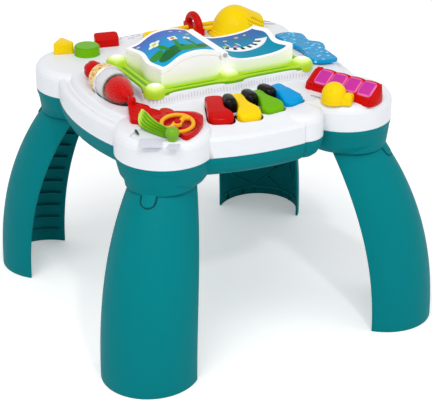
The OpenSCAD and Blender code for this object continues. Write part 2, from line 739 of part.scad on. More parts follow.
// Foot under the shell with a post that carries one end of the shaker
module shaker_foot(y, left, right, h, r) {
  translate([shaker[0], y, top_z - wall - 4]) {
    translate([-left, -4, 0]) cube([left + right, 8, 4]);
    cylinder(h = h, r = r);
  }
}
module maraca_knob() {
  color(red) {
    shaker_turn(0) rotate_extrude() polygon(concat([[0, 38], [axle_r, 38], [axle_r, 30.6]],
      smooth_line(knob_line, 4)));
    shaker_foot(foot_y[1], 19, 21, 11, 4);
  }
}
module maraca_axle() {
  color("silver") {
    shaker_turn(axle_y[0]) cylinder(h = axle_y[1] - axle_y[0], r = axle_r);
    shaker_foot(foot_y[0], 14, 14, 21, 2.5);
  }
}

// Guitar: moulded body with raised rim, spinning ring on a tilted post and a strum lever
module guitar_plan(inset) {
  polygon(smooth_loop([for (p = guitar_edge) p + (guitar_c - p) * inset / norm(guitar_c - p)], 3));
}
module guitar_cut(inset) {
  difference() {
    guitar_plan(inset);
    translate(strum_at) circle(11 + inset);
    translate(strum_at) rotate(strum_turn) translate([0, -10]) square([66, 60]);
  }
}
module guitar_body() {
  hole = spin_r + spin_wire + 2;
  color(red) difference() {
    union() {
      translate([0, 0, top_z]) linear_extrude(5) guitar_cut(0);
      translate([0, 0, top_z + 4.9]) linear_extrude(2) guitar_cut(2);
      intersection() {
        for (k = [0:3]) translate([-154 + 5 * k, -98, top_z + 6]) rotate([0, 0, 28])
          translate([-8, 0, 0]) cube([2.4, 22, 3]);
        translate([0, 0, top_z]) linear_extrude(20) guitar_cut(4);
      }
    }
    translate([ring_at[0], ring_at[1], top_z - 1]) cylinder(h = 12, r = hole);
  }
}
module spinner_place() {
  translate(ring_at) rotate(ring_tilt) children();
}
module spinner_post() {
  color(red) intersection() {
    spinner_place() {
      translate([0, 0, -20]) cylinder(h = 24, r = 2.5);
      translate([0, 0, -20]) cylinder(h = 16.5, r = 4.5);
      translate([0, 0, 2.6]) cylinder(h = 1.6, r = 4.2);
    }
    translate([ring_at[0], ring_at[1], top_z]) cylinder(h = 20, r = 12);
  }
}
module spinner_ring() {
  color(orange) spinner_place() difference() {
    union() {
      rotate_extrude() translate([spin_r, 0]) circle(spin_wire);
      translate([0, 0, -3]) cylinder(h = 5.2, r = 6.5);
      for (a = [20, 200]) rotate([0, 0, a]) translate([4, -3.5, -2]) cube([spin_r - 5, 7, 4]);
    }
    translate([0, 0, -10]) cylinder(h = 20, r = 2.55);
  }
}
module strum_lever() {
  color(green) translate([strum_at[0], strum_at[1], 0]) difference() {
    union() {
      translate([0, 0, top_z + 0.4 + ball_r]) sphere(r = ball_r);
      translate([0, 0, top_z + 0.4]) cylinder(h = 5, r = 6);
      rotate([0, 0, strum_turn]) translate([0, 0, leaf_z]) rotate([90 + leaf_lean, 0, 0]) {
        linear_extrude(leaf_t) polygon(smooth_loop(leaf_edge, 3));
        for (a = [1:4.5:19]) translate([4, 3 + a / 8, 0]) rotate([0, 90, a]) cylinder(h = 51, r = 1.1);
      }
    }
    translate([0, 0, top_z - 1]) cylinder(h = 11.5, r = axle_r + 0.05);
  }
}
module strum_post() {
  color("silver") translate([strum_at[0], strum_at[1], top_z]) cylinder(h = 10, r = axle_r);
}

// Piano: four keys in a fan, each on its own pin, and three fixed black keys
module key(i) {
  difference() {
    union() {
      intersection() {
        translate([0, 0, top_z - 12]) linear_extrude(40) key_plan(i, 0);
        fan(key_turn[i]) translate([-key_w, 0, 0]) rotate([90, 0, 90]) linear_extrude(2 * key_w)
          polygon(concat([[-key_back, top_z - 12], [-key_front[i] - 1, top_z - 12]],
            smooth_line([[-key_front[i] - 1, top_z + 1], [2 - key_front[i], top_z + 5.5],
              [8 - key_front[i], top_z + 8], [22 - key_front[i], top_z + 11], [-key_back - 22, top_z + 13.6],
              [-key_back, top_z + 14]], 3)));
      }
      fan(key_turn[i]) translate([-6, -key_back - 4, key_pivot[1] - 3.5])
        cube([12, key_back - key_pivot[0] + 8, 7]);
    }
    key_pin_hole(i, 12, axle_r + 0.06);
  }
}
module red_key() {
  color(red) key(0);
}
module yellow_key() {
  color(yellow) key(1);
}
module green_key() {
  color(green) key(2);
}
module blue_key() {
  color(blue) key(3);
}
module key_pins() {
  color("silver") for (i = [0:3]) key_pin_hole(i, 9.8, axle_r);
}
module black_keys() {
  color("black") for (i = [0:2]) fan(black_turn[i]) translate([0, -black_r[i], top_z]) intersection() {
    plate(black_w, black_l, 24, 5.5);
    translate([0, black_l / 2 + 1, 0]) rotate([90, 0, 0]) linear_extrude(black_l + 2) {
      translate([0, 9]) circle(6.6);
      translate([-6.6, 0]) square([13.2, 9]);
    }
  }
}

// Accordion: ribbed frame with four translucent cells on its sloping face
module acc_place() {
  translate([acc_at[0], acc_at[1], top_z]) rotate([0, 0, acc_turn]) children();
}
module accordion_frame() {
  color(red) acc_place() {
    rotate([90, 0, 90]) translate([0, 0, -acc_l / 2]) linear_extrude(acc_l) polygon(acc_face);
    for (x = [-acc_l / 2, -acc_l / 2 + 3.5, acc_l / 2 - 5.5, acc_l / 2 - 2]) translate([x, 0, 0])
      rotate([90, 0, 90]) linear_extrude(2) polygon([for (p = acc_face) [p[0] * 1.04, p[1] * 1.06]]);
  }
}
module accordion_bars() {
  color(magenta, 0.8) acc_place() translate([0, acc_face[2][0], acc_face[2][1]]) rotate([acc_slope, 0, 0])
    for (i = [-1.5:1.5]) translate([i * 20.2, 11, 0]) plate(19, 22, 3, 4);
}
module slider_knob() {
  color(yellow) acc_place() translate([knob_at[0], knob_at[1], 0]) {
    translate([0, 0, 0.4]) cylinder(h = 2.4, r = knob_lip);
    translate([0, 0, 0.4]) cylinder(h = knob_z, r = knob_r);
    translate([0, 0, knob_z]) intersection() {
      sphere(r = knob_r, $fn = 64);
      translate([-knob_r - 1, -knob_r - 1, 0]) cube(2 * knob_r + 2);
    }
    translate([knob_r + 3, 2, 0]) {
      translate([0, 0, 0.4]) cylinder(h = 9, r = 6.5);
      translate([0, 0, 9]) sphere(r = 6.5);
    }
    translate([4, -3, 0.4]) cube([14, 10, 9]);
    translate([-2.2, -2.2, -9]) cube([4.4, 4.4, 11]);
    translate([-5, -5, -9.5]) cube([10, 10, 2]);
  }
}

// Wave plate: springy translucent plate with a swelling outline and raised rings
module wave_plate() {
  color(blue, 0.85) {
    translate([0, 0, wave_z]) linear_extrude(wave_t) polygon(smooth_loop(wave_edge, 4));
    for (p = wave_stems) translate([p[0], p[1], top_z - wall - 4]) {
      cylinder(h = wave_z + 1 - top_z + wall + 4, r = 4);
      cylinder(h = 2, r = 5.4);
    }
    for (k = [0:5]) translate([158 + 9 * sin(k * 100), 58 - 15 * k, wave_z + wave_t]) rotate_extrude() {
      translate([3.6, 0]) circle(1);
    }
  }
}

// Trombone: sliding grip on a rail that runs into a bell with a speaker grille
module bell_horn() {
  color(yellow) translate([bell_at[0], bell_at[1], top_z]) difference() {
    union() {
      rotate_extrude() polygon(concat([[0, 0], [0, 40]], smooth_line(bell_profile, 3),
        [[35.5, 7], [36, 4.5], [39, 3.5], [39.5, 0]]));
      intersection() {
        translate([4, 0, 6]) rotate([0, 90, 0]) cylinder(h = 32, r1 = 30, r2 = 17);
        translate([0, -40, 0]) cube([40, 80, 45]);
      }
    }
    rotate_extrude() polygon(concat([[0, -1], [0, 36]], smooth_line(bell_inside, 3), [[28, -1]]));
    for (a = [-75:15:-30], k = [0:3]) rotate([0, 0, a]) translate([0, 0, 12 + 5 * k]) rotate([0, 90, 0])
      cylinder(h = 50, r = 1.1);
    for (y = [-rail_y, rail_y]) translate([-45, grip_at[1] - bell_at[1] + y, rail_z]) rotate([0, 90, 0])
      cylinder(h = 40, r = rail_r);
  }
}
module trombone_rail() {
  color("goldenrod") translate([0, grip_at[1], top_z + rail_z]) {
    for (y = [-rail_y, rail_y]) {
      translate([-14, y, 0]) rotate([0, 90, 0]) cylinder(h = 110, r = rail_r);
      translate([-12, y, -rail_z]) cylinder(h = rail_z, r = 2.4);
    }
    translate([-14, 0, 0]) rotate([0, 0, 90]) rotate_extrude(angle = 180)
      translate([rail_y, 0]) circle(rail_r);
  }
}
module trombone_grip() {
  color(red) translate([grip_at[0], grip_at[1], top_z]) {
    difference() {
      translate([-arch_wire, -arch_r - arch_wire, 4]) cube([2 * arch_wire, 2 * (arch_r + arch_wire), 10]);
      for (y = [-rail_y, rail_y]) translate([-6, y, rail_z]) rotate([0, 90, 0])
        cylinder(h = 12, r = rail_r + 0.08);
    }
    translate([0, 0, 11]) rotate([90, 0, 90]) rotate_extrude(angle = 180)
      translate([arch_r, 0]) circle(arch_wire);
    translate([-3, -2, -7]) cube([6, 4, 12]);
    translate([-5, -6, -8]) cube([10, 12, 3]);
  }
}

// Inside the case
module circuit_board() {
  color("darkgreen") difference() {
    translate([0, 0, board_z]) plate(140, 92, 1.6, 4);
    for (p = board_posts) translate([p[0], p[1], board_z - 1]) cylinder(h = 4, r = 1.2);
  }
  color("dimgray") {
    translate([-10, -10, board_z + 1.6]) cube([20, 20, 2]);
    translate([30, 10, board_z + 1.6]) cube([8, 14, 2.4]);
    for (x = [-45, -30]) translate([x, 20, board_z + 1.6]) cylinder(h = 8, r = 4);
  }
}
module speaker() {
  color("darkslategray") translate([bell_at[0], bell_at[1], 0]) {
    translate([0, 0, top_z - wall - 3]) difference() {
      cylinder(h = 3, r = 27);
      translate([0, 0, 1.5]) cylinder(h = 3, r = 22);
    }
    translate([0, 0, top_z - wall - 12]) cylinder(h = 9.5, r1 = 12, r2 = 22);
    translate([0, 0, top_z - wall - 20]) cylinder(h = 8.2, r = 14);
  }
}
module battery_box() {
  color("white") translate([0, 0, tray_z + wall]) difference() {
    plate(door_x - 6, door_y - 6, 23, 4);
    translate([0, 0, -1]) plate(door_x - 12, door_y - 12, 22, 3);
  }
}
module battery_cells() {
  for (y = [-cell_y, 0, cell_y]) color("gold") translate([-cell_l / 2, y, cell_z]) rotate([0, 90, 0]) {
    cylinder(h = cell_l - 1.3, r = 7.1);
    cylinder(h = cell_l, r = 2.7);
  }
}
module battery_contacts() {
  color("silver") for (y = [-cell_y, 0, cell_y], x = [-door_x / 2 + 6, cell_l / 2])
    translate([x, y - 5, cell_z - 6]) cube([door_x / 2 - 6 - cell_l / 2, 10, 12]);
}
module battery_door() {
  color(teal) translate([0, 0, tray_z + 0.2]) difference() {
    plate(door_x - 0.6, door_y - 0.6, door_t, 5);
    for (k = [-2:2]) translate([k * 7 - 1, -12, -1]) cube([2, 24, 1.8]);
  }
}
module power_switch() {
  color(orange) translate([switch_at[0], switch_at[1] - 4, tray_z]) {
    translate([0, 0, -1.5]) plate(6.6, 8, 5, 2.5);
    translate([0, 0, wall + 0.3]) plate(14, 16, 2, 2);
  }
}
module case_screws() {
  color("silver") screw_places() translate([0, 0, tray_z + 1]) {
    cylinder(h = 2.4, r = 3.4);
    cylinder(h = 18, r = 1.5);
  }
}

top_shell();
base_tray();
leg_front_left();
leg_front_right();
leg_back_left();
leg_back_right();
latch_front_left();
latch_front_right();
latch_back_left();
latch_back_right();
light_ring();
light_bulbs();
book_base();
right_page_print();
page_pin();
turning_page();
turning_page_print();
triangle_button();
round_button();
square_button();
triangle_dome();
round_dome();
square_dome();
button_board();
maraca_bulb();
maraca_beads();
maraca_cone();
maraca_knob();
maraca_axle();
guitar_body();
spinner_post();
spinner_ring();
strum_lever();
strum_post();
red_key();
yellow_key();
green_key();
blue_key();
key_pins();
black_keys();
accordion_frame();
accordion_bars();
slider_knob();
wave_plate();
bell_horn();
trombone_rail();
trombone_grip();
circuit_board();
speaker();
battery_box();
battery_cells();
battery_contacts();
battery_door();
power_switch();
case_screws();
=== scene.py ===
import bpy
import bmesh
import json
import math
from mathutils import Matrix, Vector


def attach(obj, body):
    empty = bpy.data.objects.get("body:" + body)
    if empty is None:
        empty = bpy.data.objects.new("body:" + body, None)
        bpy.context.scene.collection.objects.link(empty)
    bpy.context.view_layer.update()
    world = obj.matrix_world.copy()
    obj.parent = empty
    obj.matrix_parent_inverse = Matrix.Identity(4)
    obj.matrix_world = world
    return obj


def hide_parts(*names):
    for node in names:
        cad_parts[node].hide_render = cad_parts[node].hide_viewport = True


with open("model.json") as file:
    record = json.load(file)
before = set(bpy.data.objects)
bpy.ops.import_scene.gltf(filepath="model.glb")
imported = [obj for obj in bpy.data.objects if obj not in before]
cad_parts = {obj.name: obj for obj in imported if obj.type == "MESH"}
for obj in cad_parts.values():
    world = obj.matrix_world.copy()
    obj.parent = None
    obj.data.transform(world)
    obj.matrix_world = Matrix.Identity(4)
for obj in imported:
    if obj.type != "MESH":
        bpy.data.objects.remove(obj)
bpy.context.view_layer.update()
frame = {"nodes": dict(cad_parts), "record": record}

nodes = frame["nodes"]
TOP = 0.321  # height of the play surface, metres
TURN = 2 * math.pi

# ---------------------------------------------------------------- material helpers


def add(tree, kind, inputs=(), **settings):
    """A shader node with its settings, and its sockets set or linked by name or index."""
    made = tree.nodes.new(kind)
    for key, value in settings.items():
        setattr(made, key, value)
    for key, value in dict(inputs).items():
        if isinstance(value, bpy.types.NodeSocket):
            tree.links.new(value, made.inputs[key])
        else:
            made.inputs[key].default_value = value
    return made


def maths(tree, operation, a, b=0.5, c=0.5, clamp=False):
    """Output of one Math node; a, b and c may be sockets or numbers."""
    return add(tree, "ShaderNodeMath", {0: a, 1: b, 2: c}, operation=operation, use_clamp=clamp).outputs[0]


def mix(tree, share, a, b):
    """Colour mix of a and b; each may be a socket or an rgb triple."""
    wide = [x if isinstance(x, bpy.types.NodeSocket) else (*x, 1) for x in (a, b)]
    return add(tree, "ShaderNodeMix", {0: share, 6: wide[0], 7: wide[1]}, data_type="RGBA").outputs[2]


def steps(tree, value, low, high, a=0.0, b=1.0):
    """Smooth rise from a to b as value goes from low to high."""
    return add(tree, "ShaderNodeMapRange", {0: value, 1: low, 2: high, 3: a, 4: b},
               interpolation_type="SMOOTHSTEP").outputs[0]


def new_group(name, inputs, outputs):
    """An empty shader node group, with the sockets to read and the sockets to fill."""
    group = bpy.data.node_groups.new(name, "ShaderNodeTree")
    for label, kind, value in inputs:
        socket = group.interface.new_socket(label, in_out="INPUT", socket_type=kind)
        socket.default_value = value
    for label, kind in outputs:
        group.interface.new_socket(label, in_out="OUTPUT", socket_type=kind)
    return group, group.nodes.new("NodeGroupInput").outputs, group.nodes.new("NodeGroupOutput").inputs


def object_axis(tree):
    """The object's own x, y and z, in metres."""
    place = add(tree, "ShaderNodeTexCoord").outputs["Object"]
    return add(tree, "ShaderNodeSeparateXYZ", {0: place}).outputs


def all_of(tree, *masks):
    """Product of masks: 1 only where each of them is 1."""
    whole = masks[0]
    for mask in masks[1:]:
        whole = maths(tree, "MULTIPLY", whole, mask)
    return whole


def inside_band(tree, value, low, high, edge):
    """1 where value lies between low and high."""
    return all_of(tree, steps(tree, value, low - edge, low + edge),
                  steps(tree, value, high - edge, high + edge, 1.0, 0.0))


def ripple(tree, value, pitch):
    """Sine wave that repeats once for each pitch of value."""
    return maths(tree, "SINE", maths(tree, "MULTIPLY", value, TURN / pitch))


F, RGBA, VEC = "NodeSocketFloat", "NodeSocketColor", "NodeSocketVector"


def make_skin_group():
    """Moulded plastic: slight flow shading, fine grain, faint handling marks."""
    group, given, out = new_group(
        "moulded_skin",
        [("Colour", RGBA, (0.8, 0.8, 0.8, 1)), ("Flow", F, 0.05), ("Gloss", F, 0.3), ("Marks", F, 0.05),
         ("Grain", F, 900.0)],
        [("Colour", RGBA), ("Roughness", F), ("Height", F)])
    place = add(group, "ShaderNodeTexCoord").outputs["Object"]
    flow = add(group, "ShaderNodeTexNoise", {"Vector": place, "Scale": 9.0, "Detail": 2.0}).outputs["Fac"]
    cloud = add(group, "ShaderNodeTexNoise", {"Vector": place, "Scale": 55.0, "Detail": 4.0}).outputs["Fac"]
    fine = add(group, "ShaderNodeTexNoise", {"Vector": place, "Scale": given["Grain"], "Detail": 3.0}).outputs["Fac"]
    lift = maths(group, "MULTIPLY_ADD", maths(group, "SUBTRACT", flow, 0.5), given["Flow"], 0.0)
    value = maths(group, "ADD", 1.0, maths(group, "MULTIPLY", lift, 2.0))
    toned = add(group, "ShaderNodeHueSaturation", {"Hue": 0.5, "Saturation": 1.0, "Value": value, "Fac": 1.0,
                                                   "Color": given["Colour"]})
    group.links.new(toned.outputs[0], out["Colour"])
    spread = maths(group, "MULTIPLY", steps(group, cloud, 0.4, 0.75), given["Marks"])
    group.links.new(maths(group, "ADD", given["Gloss"], spread, clamp=True), out["Roughness"])
    group.links.new(maths(group, "ADD", fine, maths(group, "MULTIPLY", cloud, 0.3)), out["Height"])
    return group


def make_spot_group():
    """Mask of one ellipse on the plan, softened at its edge; Turn is in radians."""
    group, given, out = new_group(
        "plan_spot",
        [("Centre", VEC, (0, 0, 0)), ("Size", VEC, (0.01, 0.01, 1)), ("Turn", F, 0.0), ("Edge", F, 0.08)],
        [("Mask", F)])
    place = add(group, "ShaderNodeTexCoord").outputs["Object"]
    moved = add(group, "ShaderNodeVectorMath", {0: place, 1: given["Centre"]}, operation="SUBTRACT").outputs[0]
    turned = add(group, "ShaderNodeVectorRotate", {"Vector": moved, "Angle": given["Turn"]},
                 rotation_type="Z_AXIS").outputs[0]
    flat = add(group, "ShaderNodeVectorMath", {0: turned, 1: (1, 1, 0)}, operation="MULTIPLY").outputs[0]
    scaled = add(group, "ShaderNodeVectorMath", {0: flat, 1: given["Size"]}, operation="DIVIDE").outputs[0]
    reach = add(group, "ShaderNodeVectorMath", {0: scaled}, operation="LENGTH").outputs["Value"]
    low = maths(group, "SUBTRACT", 1.0, given["Edge"])
    mask = add(group, "ShaderNodeMapRange", {0: reach, 1: low, 2: 1.0, 3: 1.0, 4: 0.0},
               interpolation_type="SMOOTHSTEP").outputs[0]
    group.links.new(mask, out["Mask"])
    return group


SKIN = make_skin_group()
SPOT = make_spot_group()


def placed(tree, group, **values):
    """Places a node group in a material and returns its outputs."""
    return add(tree, "ShaderNodeGroup", values, node_tree=group).outputs


def spot(tree, x, y, w, h, turn=0.0, edge=0.1):
    """Ellipse mask at x, y with half sizes w and h, all in millimetres; turn in degrees."""
    return placed(tree, SPOT, Centre=(x / 1000, y / 1000, 0), Size=(w / 1000, h / 1000, 1), Turn=math.radians(-turn),
                  Edge=edge)["Mask"]


def plastic(name, colour, gloss=0.3, flow=0.05, marks=0.06, grain=900.0, bump=0.03, paint=None, relief=None,
            soften=0.0008, inner=0.0, spec=0.3, glow=0.0, glow_colour=None):
    """Moulded plastic.

    paint(tree, colour) may print on it or paint light and shade into its colour, and relief(tree) may raise a
    pattern.
    shading, inner is light that spreads inside, and glow is light given out, in the plastic's own colour
    unless glow_colour is set.
    """
    made = bpy.data.materials.new(name)
    made.use_nodes = True
    tree = made.node_tree
    tree.nodes.clear()
    shader = tree.nodes.new("ShaderNodeBsdfPrincipled")
    end = tree.nodes.new("ShaderNodeOutputMaterial")
    tree.links.new(shader.outputs[0], end.inputs["Surface"])
    base = (*colour, 1)
    if paint:
        base = paint(tree, base)
    skin = placed(tree, SKIN, Colour=base, Flow=flow, Gloss=gloss, Marks=marks, Grain=grain)
    tree.links.new(skin["Colour"], shader.inputs["Base Color"])
    tree.links.new(skin["Roughness"], shader.inputs["Roughness"])
    fine = add(tree, "ShaderNodeBump", {"Strength": bump, "Distance": 0.0004, "Height": skin["Height"]})
    under = None
    if soften:
        under = add(tree, "ShaderNodeBevel", {"Radius": soften}, samples=4).outputs[0]
    if relief:
        cast = add(tree, "ShaderNodeBump", {"Strength": 0.8, "Distance": 0.0016, "Height": relief(tree)})
        if under:
            tree.links.new(under, cast.inputs["Normal"])
        under = cast.outputs[0]
    if under:
        tree.links.new(under, fine.inputs["Normal"])
    tree.links.new(fine.outputs[0], shader.inputs["Normal"])
    shader.inputs["Specular IOR Level"].default_value = spec
    if inner:
        shader.inputs["Subsurface Weight"].default_value = inner
        shader.inputs["Subsurface Radius"].default_value = (1, 1, 0.5)
        shader.inputs["Subsurface Scale"].default_value = 0.008
    if glow:
        shader.inputs["Emission Strength"].default_value = glow
        if glow_colour:
            shader.inputs["Emission Color"].default_value = (*glow_colour, 1)
        else:
            tree.links.new(skin["Colour"], shader.inputs["Emission Color"])
    made.diffuse_color = (*colour, 1)
    return made


def clear_skin(made, edge):
    """Clear wall of the shaker: denser where it turns away, and hazy behind the cup."""
    tree = made.node_tree
    facing = add(tree, "ShaderNodeLayerWeight", {"Blend": 0.35}).outputs["Facing"]
    thin = maths(tree, "MULTIPLY", all_of(tree, facing, facing), edge)
    haze = steps(tree, object_axis(tree)[1], -0.024, -0.019, 0.0, 0.6)
    tree.links.new(maths(tree, "MAXIMUM", thin, haze), tree.nodes["Principled BSDF"].inputs["Alpha"])
    return made


def metal(name, colour, rough=0.3):
    """Plated or brushed metal, with finer grain than the plastics."""
    made = plastic(name, colour, gloss=rough, flow=0.08, marks=0.15, grain=1600.0, bump=0.05, soften=0.0003)
    made.node_tree.nodes["Principled BSDF"].inputs["Metallic"].default_value = 1.0
    return made


# ---------------------------------------------------------------- finishes
WHITE = (0.80, 0.82, 0.85)
TEAL = (0.0, 0.195, 0.215)
RED = (0.56, 0.004, 0.003)
YELLOW = (0.90, 0.62, 0.004)
GREEN = (0.15, 0.44, 0.004)
LIME = (0.26, 0.60, 0.006)
BLUE = (0.0, 0.31, 0.68)
ORANGE = (0.90, 0.43, 0.02)


def shell_print(tree, colour):
    """Pale prints on the play surface: grey doodles at the back and fanned stripes by the bell."""
    x, y, z = object_axis(tree)[:3]
    level = steps(tree, z, TOP - 0.0012, TOP - 0.0006)
    loops = None
    for px, py, w, turn in ((-38, 196, 9, 20), (-22, 189, 7, -30), (-50, 187, 6, 50), (-33, 181, 5, 0)):
        ring = maths(tree, "SUBTRACT", spot(tree, px, py, w, w * 0.7, turn, 0.1),
                     spot(tree, px, py, w * 0.72, w * 0.42, turn, 0.1), clamp=True)
        loops = ring if loops is None else maths(tree, "MAXIMUM", loops, ring)
    base = mix(tree, all_of(tree, loops, level, 0.75), colour[:3], (0.25, 0.29, 0.27))
    angle = maths(tree, "ARCTAN2", maths(tree, "SUBTRACT", y, 0.105), maths(tree, "SUBTRACT", x, 0.240))
    stripe = steps(tree, maths(tree, "SINE", maths(tree, "MULTIPLY", angle, 44.0)), 0.15, 0.35)
    fan = all_of(tree, stripe, inside_band(tree, x, 0.150, 0.181, 0.001), inside_band(tree, angle, 2.18, 2.72, 0.01),
                 level)
    return mix(tree, all_of(tree, fan, 0.8), base, (0.24, 0.25, 0.15))


def tick_print(tree, colour):
    """Small grey scale marks round the foot of the light frame."""
    x, y, z = object_axis(tree)[:3]
    on_long = steps(tree, maths(tree, "ABSOLUTE", y), 0.060, 0.062)
    on_short = maths(tree, "SUBTRACT", 1.0, on_long)
    ticks = maths(tree, "ADD", all_of(tree, on_long, ripple(tree, x, 0.0042)),
                  all_of(tree, on_short, ripple(tree, y, 0.0042)))
    tall = maths(tree, "MULTIPLY", ripple(tree, x, 0.021), 0.0012)
    band = all_of(tree, steps(tree, z, 0.3238, 0.3243),
                  steps(tree, maths(tree, "SUBTRACT", z, tall), 0.3296, 0.3300, 1.0, 0.0))
    return mix(tree, all_of(tree, steps(tree, ticks, 0.1, 0.5), band, 0.34), colour[:3], (0.30, 0.34, 0.38))


def painted_lime_spill(tree, colour):
    """Painted light: the light frame's lime glow painted on the block, lime at its foot and pale cream above it,
    white higher up.
    """
    z = object_axis(tree)[2]
    base = mix(tree, steps(tree, z, 0.343, 0.358, 1.0, 0.0), colour[:3], (0.88, 0.92, 0.74))
    return mix(tree, steps(tree, z, 0.333, 0.345, 1.0, 0.0), base, (0.62, 0.82, 0.16))


def page_art(tree, low, high, night, lean, shapes):
    """Printed page: sky from low at the front to high at the back, darker night beyond, then plain shapes.

    lean tips the night's edge with the distance from the spine; a shape is (x, y, w, h, turn, colour).
    """
    x, y, z = object_axis(tree)[:3]
    sky = mix(tree, steps(tree, y, -0.02, 0.055), low, high)
    dusk = maths(tree, "ADD", y, maths(tree, "MULTIPLY", maths(tree, "ABSOLUTE", x), lean))
    page = mix(tree, maths(tree, "MULTIPLY", steps(tree, dusk, 0.01, 0.05), 0.6), sky, night)
    for px, py, w, h, turn, colour in shapes:
        page = mix(tree, spot(tree, px, py, w, h, turn), page, colour)
    return page


LEAF, DEEP, PALE = (0.03, 0.26, 0.03), (0.012, 0.14, 0.03), (0.86, 0.90, 0.80)
CORAL, SUN, ROSE = (0.72, 0.05, 0.03), (0.62, 0.66, 0.08), (0.70, 0.30, 0.48)


def left_art(tree, colour):
    """Meadow with three flowers under an evening sky."""
    hills = [(-66, -24, 22, 13, 15, DEEP), (-40, -30, 20, 10, -8, LEAF), (-84, -12, 14, 8, 40, LEAF),
             (-22, -26, 14, 7, 25, DEEP)]
    stems = [(-70, 0, 3, 17, 12, LEAF), (-52, -8, 3, 20, -10, LEAF), (-33, -10, 2.4, 15, 8, DEEP)]
    flowers = [(-73, 18, 9, 4.2, 12, PALE), (-73, 18, 4.2, 9, 12, PALE), (-73, 18, 3.4, 3.4, 0, SUN),
               (-49, 12, 8, 3.8, 40, PALE), (-49, 12, 3.8, 8, 40, PALE), (-49, 12, 3, 3, 0, CORAL),
               (-31, 6, 6, 3, 10, PALE), (-31, 6, 3, 6, 10, PALE), (-31, 6, 2.2, 2.2, 0, SUN)]
    stars = [(-27, 34, 3, 2, 30, SUN), (-22, 22, 4, 1.6, 20, SUN), (-40, 36, 3, 1.5, -20, SUN),
             (-88, 36, 3, 2, 0, SUN)]
    return page_art(tree, (0.0, 0.36, 0.66), (0.08, 0.14, 0.50), (0.14, 0.13, 0.46), -0.15,
                    hills + stems + flowers + stars)


def right_art(tree, colour):
    """Curved row of piano keys under small stars and notes."""
    stars = [(38, 27, 3.4, 2.4, 20, SUN), (49, 20, 2.4, 3.4, -10, LEAF), (58, 32, 3.6, 2.4, 0, SUN),
             (66, 22, 2.6, 3.6, 15, LEAF), (72, 34, 2.2, 2.2, 0, SUN)]
    notes = [(26, 4, 4, 3, 20, SUN), (33, 10, 0.9, 7, 10, PALE), (41, 2, 4, 3, 20, ROSE), (48, 8, 0.9, 7, 10, PALE)]
    base = page_art(tree, (0.0, 0.27, 0.42), (0.01, 0.19, 0.42), (0.09, 0.12, 0.40), 0.2, stars + notes)
    x, y, z = object_axis(tree)[:3]
    dx, dy = maths(tree, "SUBTRACT", x, 0.048), maths(tree, "SUBTRACT", y, 0.030)
    far = maths(tree, "SQRT", maths(tree, "ADD", all_of(tree, dx, dx), all_of(tree, dy, dy)))
    angle = maths(tree, "ARCTAN2", dy, dx)
    keys = all_of(tree, inside_band(tree, far, 0.034, 0.050, 0.0004), inside_band(tree, angle, -2.25, -0.55, 0.015))
    base = mix(tree, keys, base, (0.88, 0.90, 0.92))
    beat = steps(tree, ripple(tree, angle, 0.28), 0.1, 0.25)
    return mix(tree, all_of(tree, beat, keys, steps(tree, far, 0.0425, 0.0430, 1.0, 0.0)), base, (0.01, 0.01, 0.012))


def wave_relief(tree):
    """Pebbled pattern moulded into the translucent plate."""
    place = add(tree, "ShaderNodeTexCoord").outputs["Object"]
    cells = add(tree, "ShaderNodeTexVoronoi", {"Vector": place, "Scale": 120.0, "Smoothness": 0.3},
                feature="SMOOTH_F1").outputs["Distance"]
    return steps(tree, cells, 0.1, 0.55, 1.0, 0.0)


def wave_painted_shading(tree, colour):
    """Painted highlight and shade on the pebbled plate: bright crowns and deeper valleys."""
    high = wave_relief(tree)
    base = mix(tree, steps(tree, high, 0.15, 0.6), (0.0, 0.28, 0.58), (0.003, 0.42, 0.78))
    return mix(tree, steps(tree, high, 0.62, 0.95, 0.0, 0.7), base, (0.34, 0.78, 0.97))


# the six lamps of the light frame, in millimetres on the plan
LAMPS = [(x, y) for x in (-109, 109) for y in (-60, 60)] + [(0, -57), (0, 57)]


def dome_painted_glow(tree, colour):
    """Painted glow on each lamp cover: a white middle, fading through pale lime to a deeper lime at its edge."""
    heart = None
    for x, y in LAMPS:
        one = spot(tree, x, y, 15.5, 15.5, 0, 0.95)
        heart = one if heart is None else maths(tree, "MAXIMUM", heart, one)
    rim = mix(tree, steps(tree, heart, 0.0, 0.30), (0.36, 0.56, 0.02), (0.62, 0.80, 0.20))
    return mix(tree, steps(tree, heart, 0.30, 0.90), rim, (0.90, 0.94, 0.80))


def frame_painted_shading(tree, colour):
    """Painted shade and highlight on the light frame: deeper green in its channel, brighter along both raised edges,
    a middle green on its lower sides.
    """
    z = object_axis(tree)[2]
    base = mix(tree, steps(tree, z, 0.3358, 0.3374), (0.11, 0.34, 0.003), (0.37, 0.58, 0.012))
    return mix(tree, steps(tree, z, 0.3290, 0.3345, 1.0, 0.0), base, (0.30, 0.52, 0.01))


def leaf_painted_shading(tree, colour):
    """Painted highlight and shade across the leaf: brighter at the tips and on the ridges, darker in the valleys."""
    across = add(tree, "ShaderNodeSeparateXYZ", {0: add(tree, "ShaderNodeUVMap", uv_map="across").outputs[0]}).outputs
    base = mix(tree, steps(tree, across[1], 3.1, 4.3), (0.12, 0.36, 0.004), (0.46, 0.66, 0.03))
    return mix(tree, steps(tree, across[0], 0.86, 1.0), base, (0.62, 0.82, 0.12))


def chamber_tint(tree, colour):
    """Amber speckle of the loose beads in the shaker's chamber."""
    place = add(tree, "ShaderNodeTexCoord").outputs["Object"]
    cells = add(tree, "ShaderNodeTexVoronoi", {"Vector": place, "Scale": 210.0})
    tone = add(tree, "ShaderNodeSeparateColor", {0: cells.outputs["Color"]}).outputs[0]
    base = mix(tree, steps(tree, tone, 0.2, 0.8), (0.58, 0.16, 0.005), (0.85, 0.48, 0.02))
    return mix(tree, steps(tree, cells.outputs["Distance"], 0.32, 0.62), base, (0.86, 0.62, 0.22))


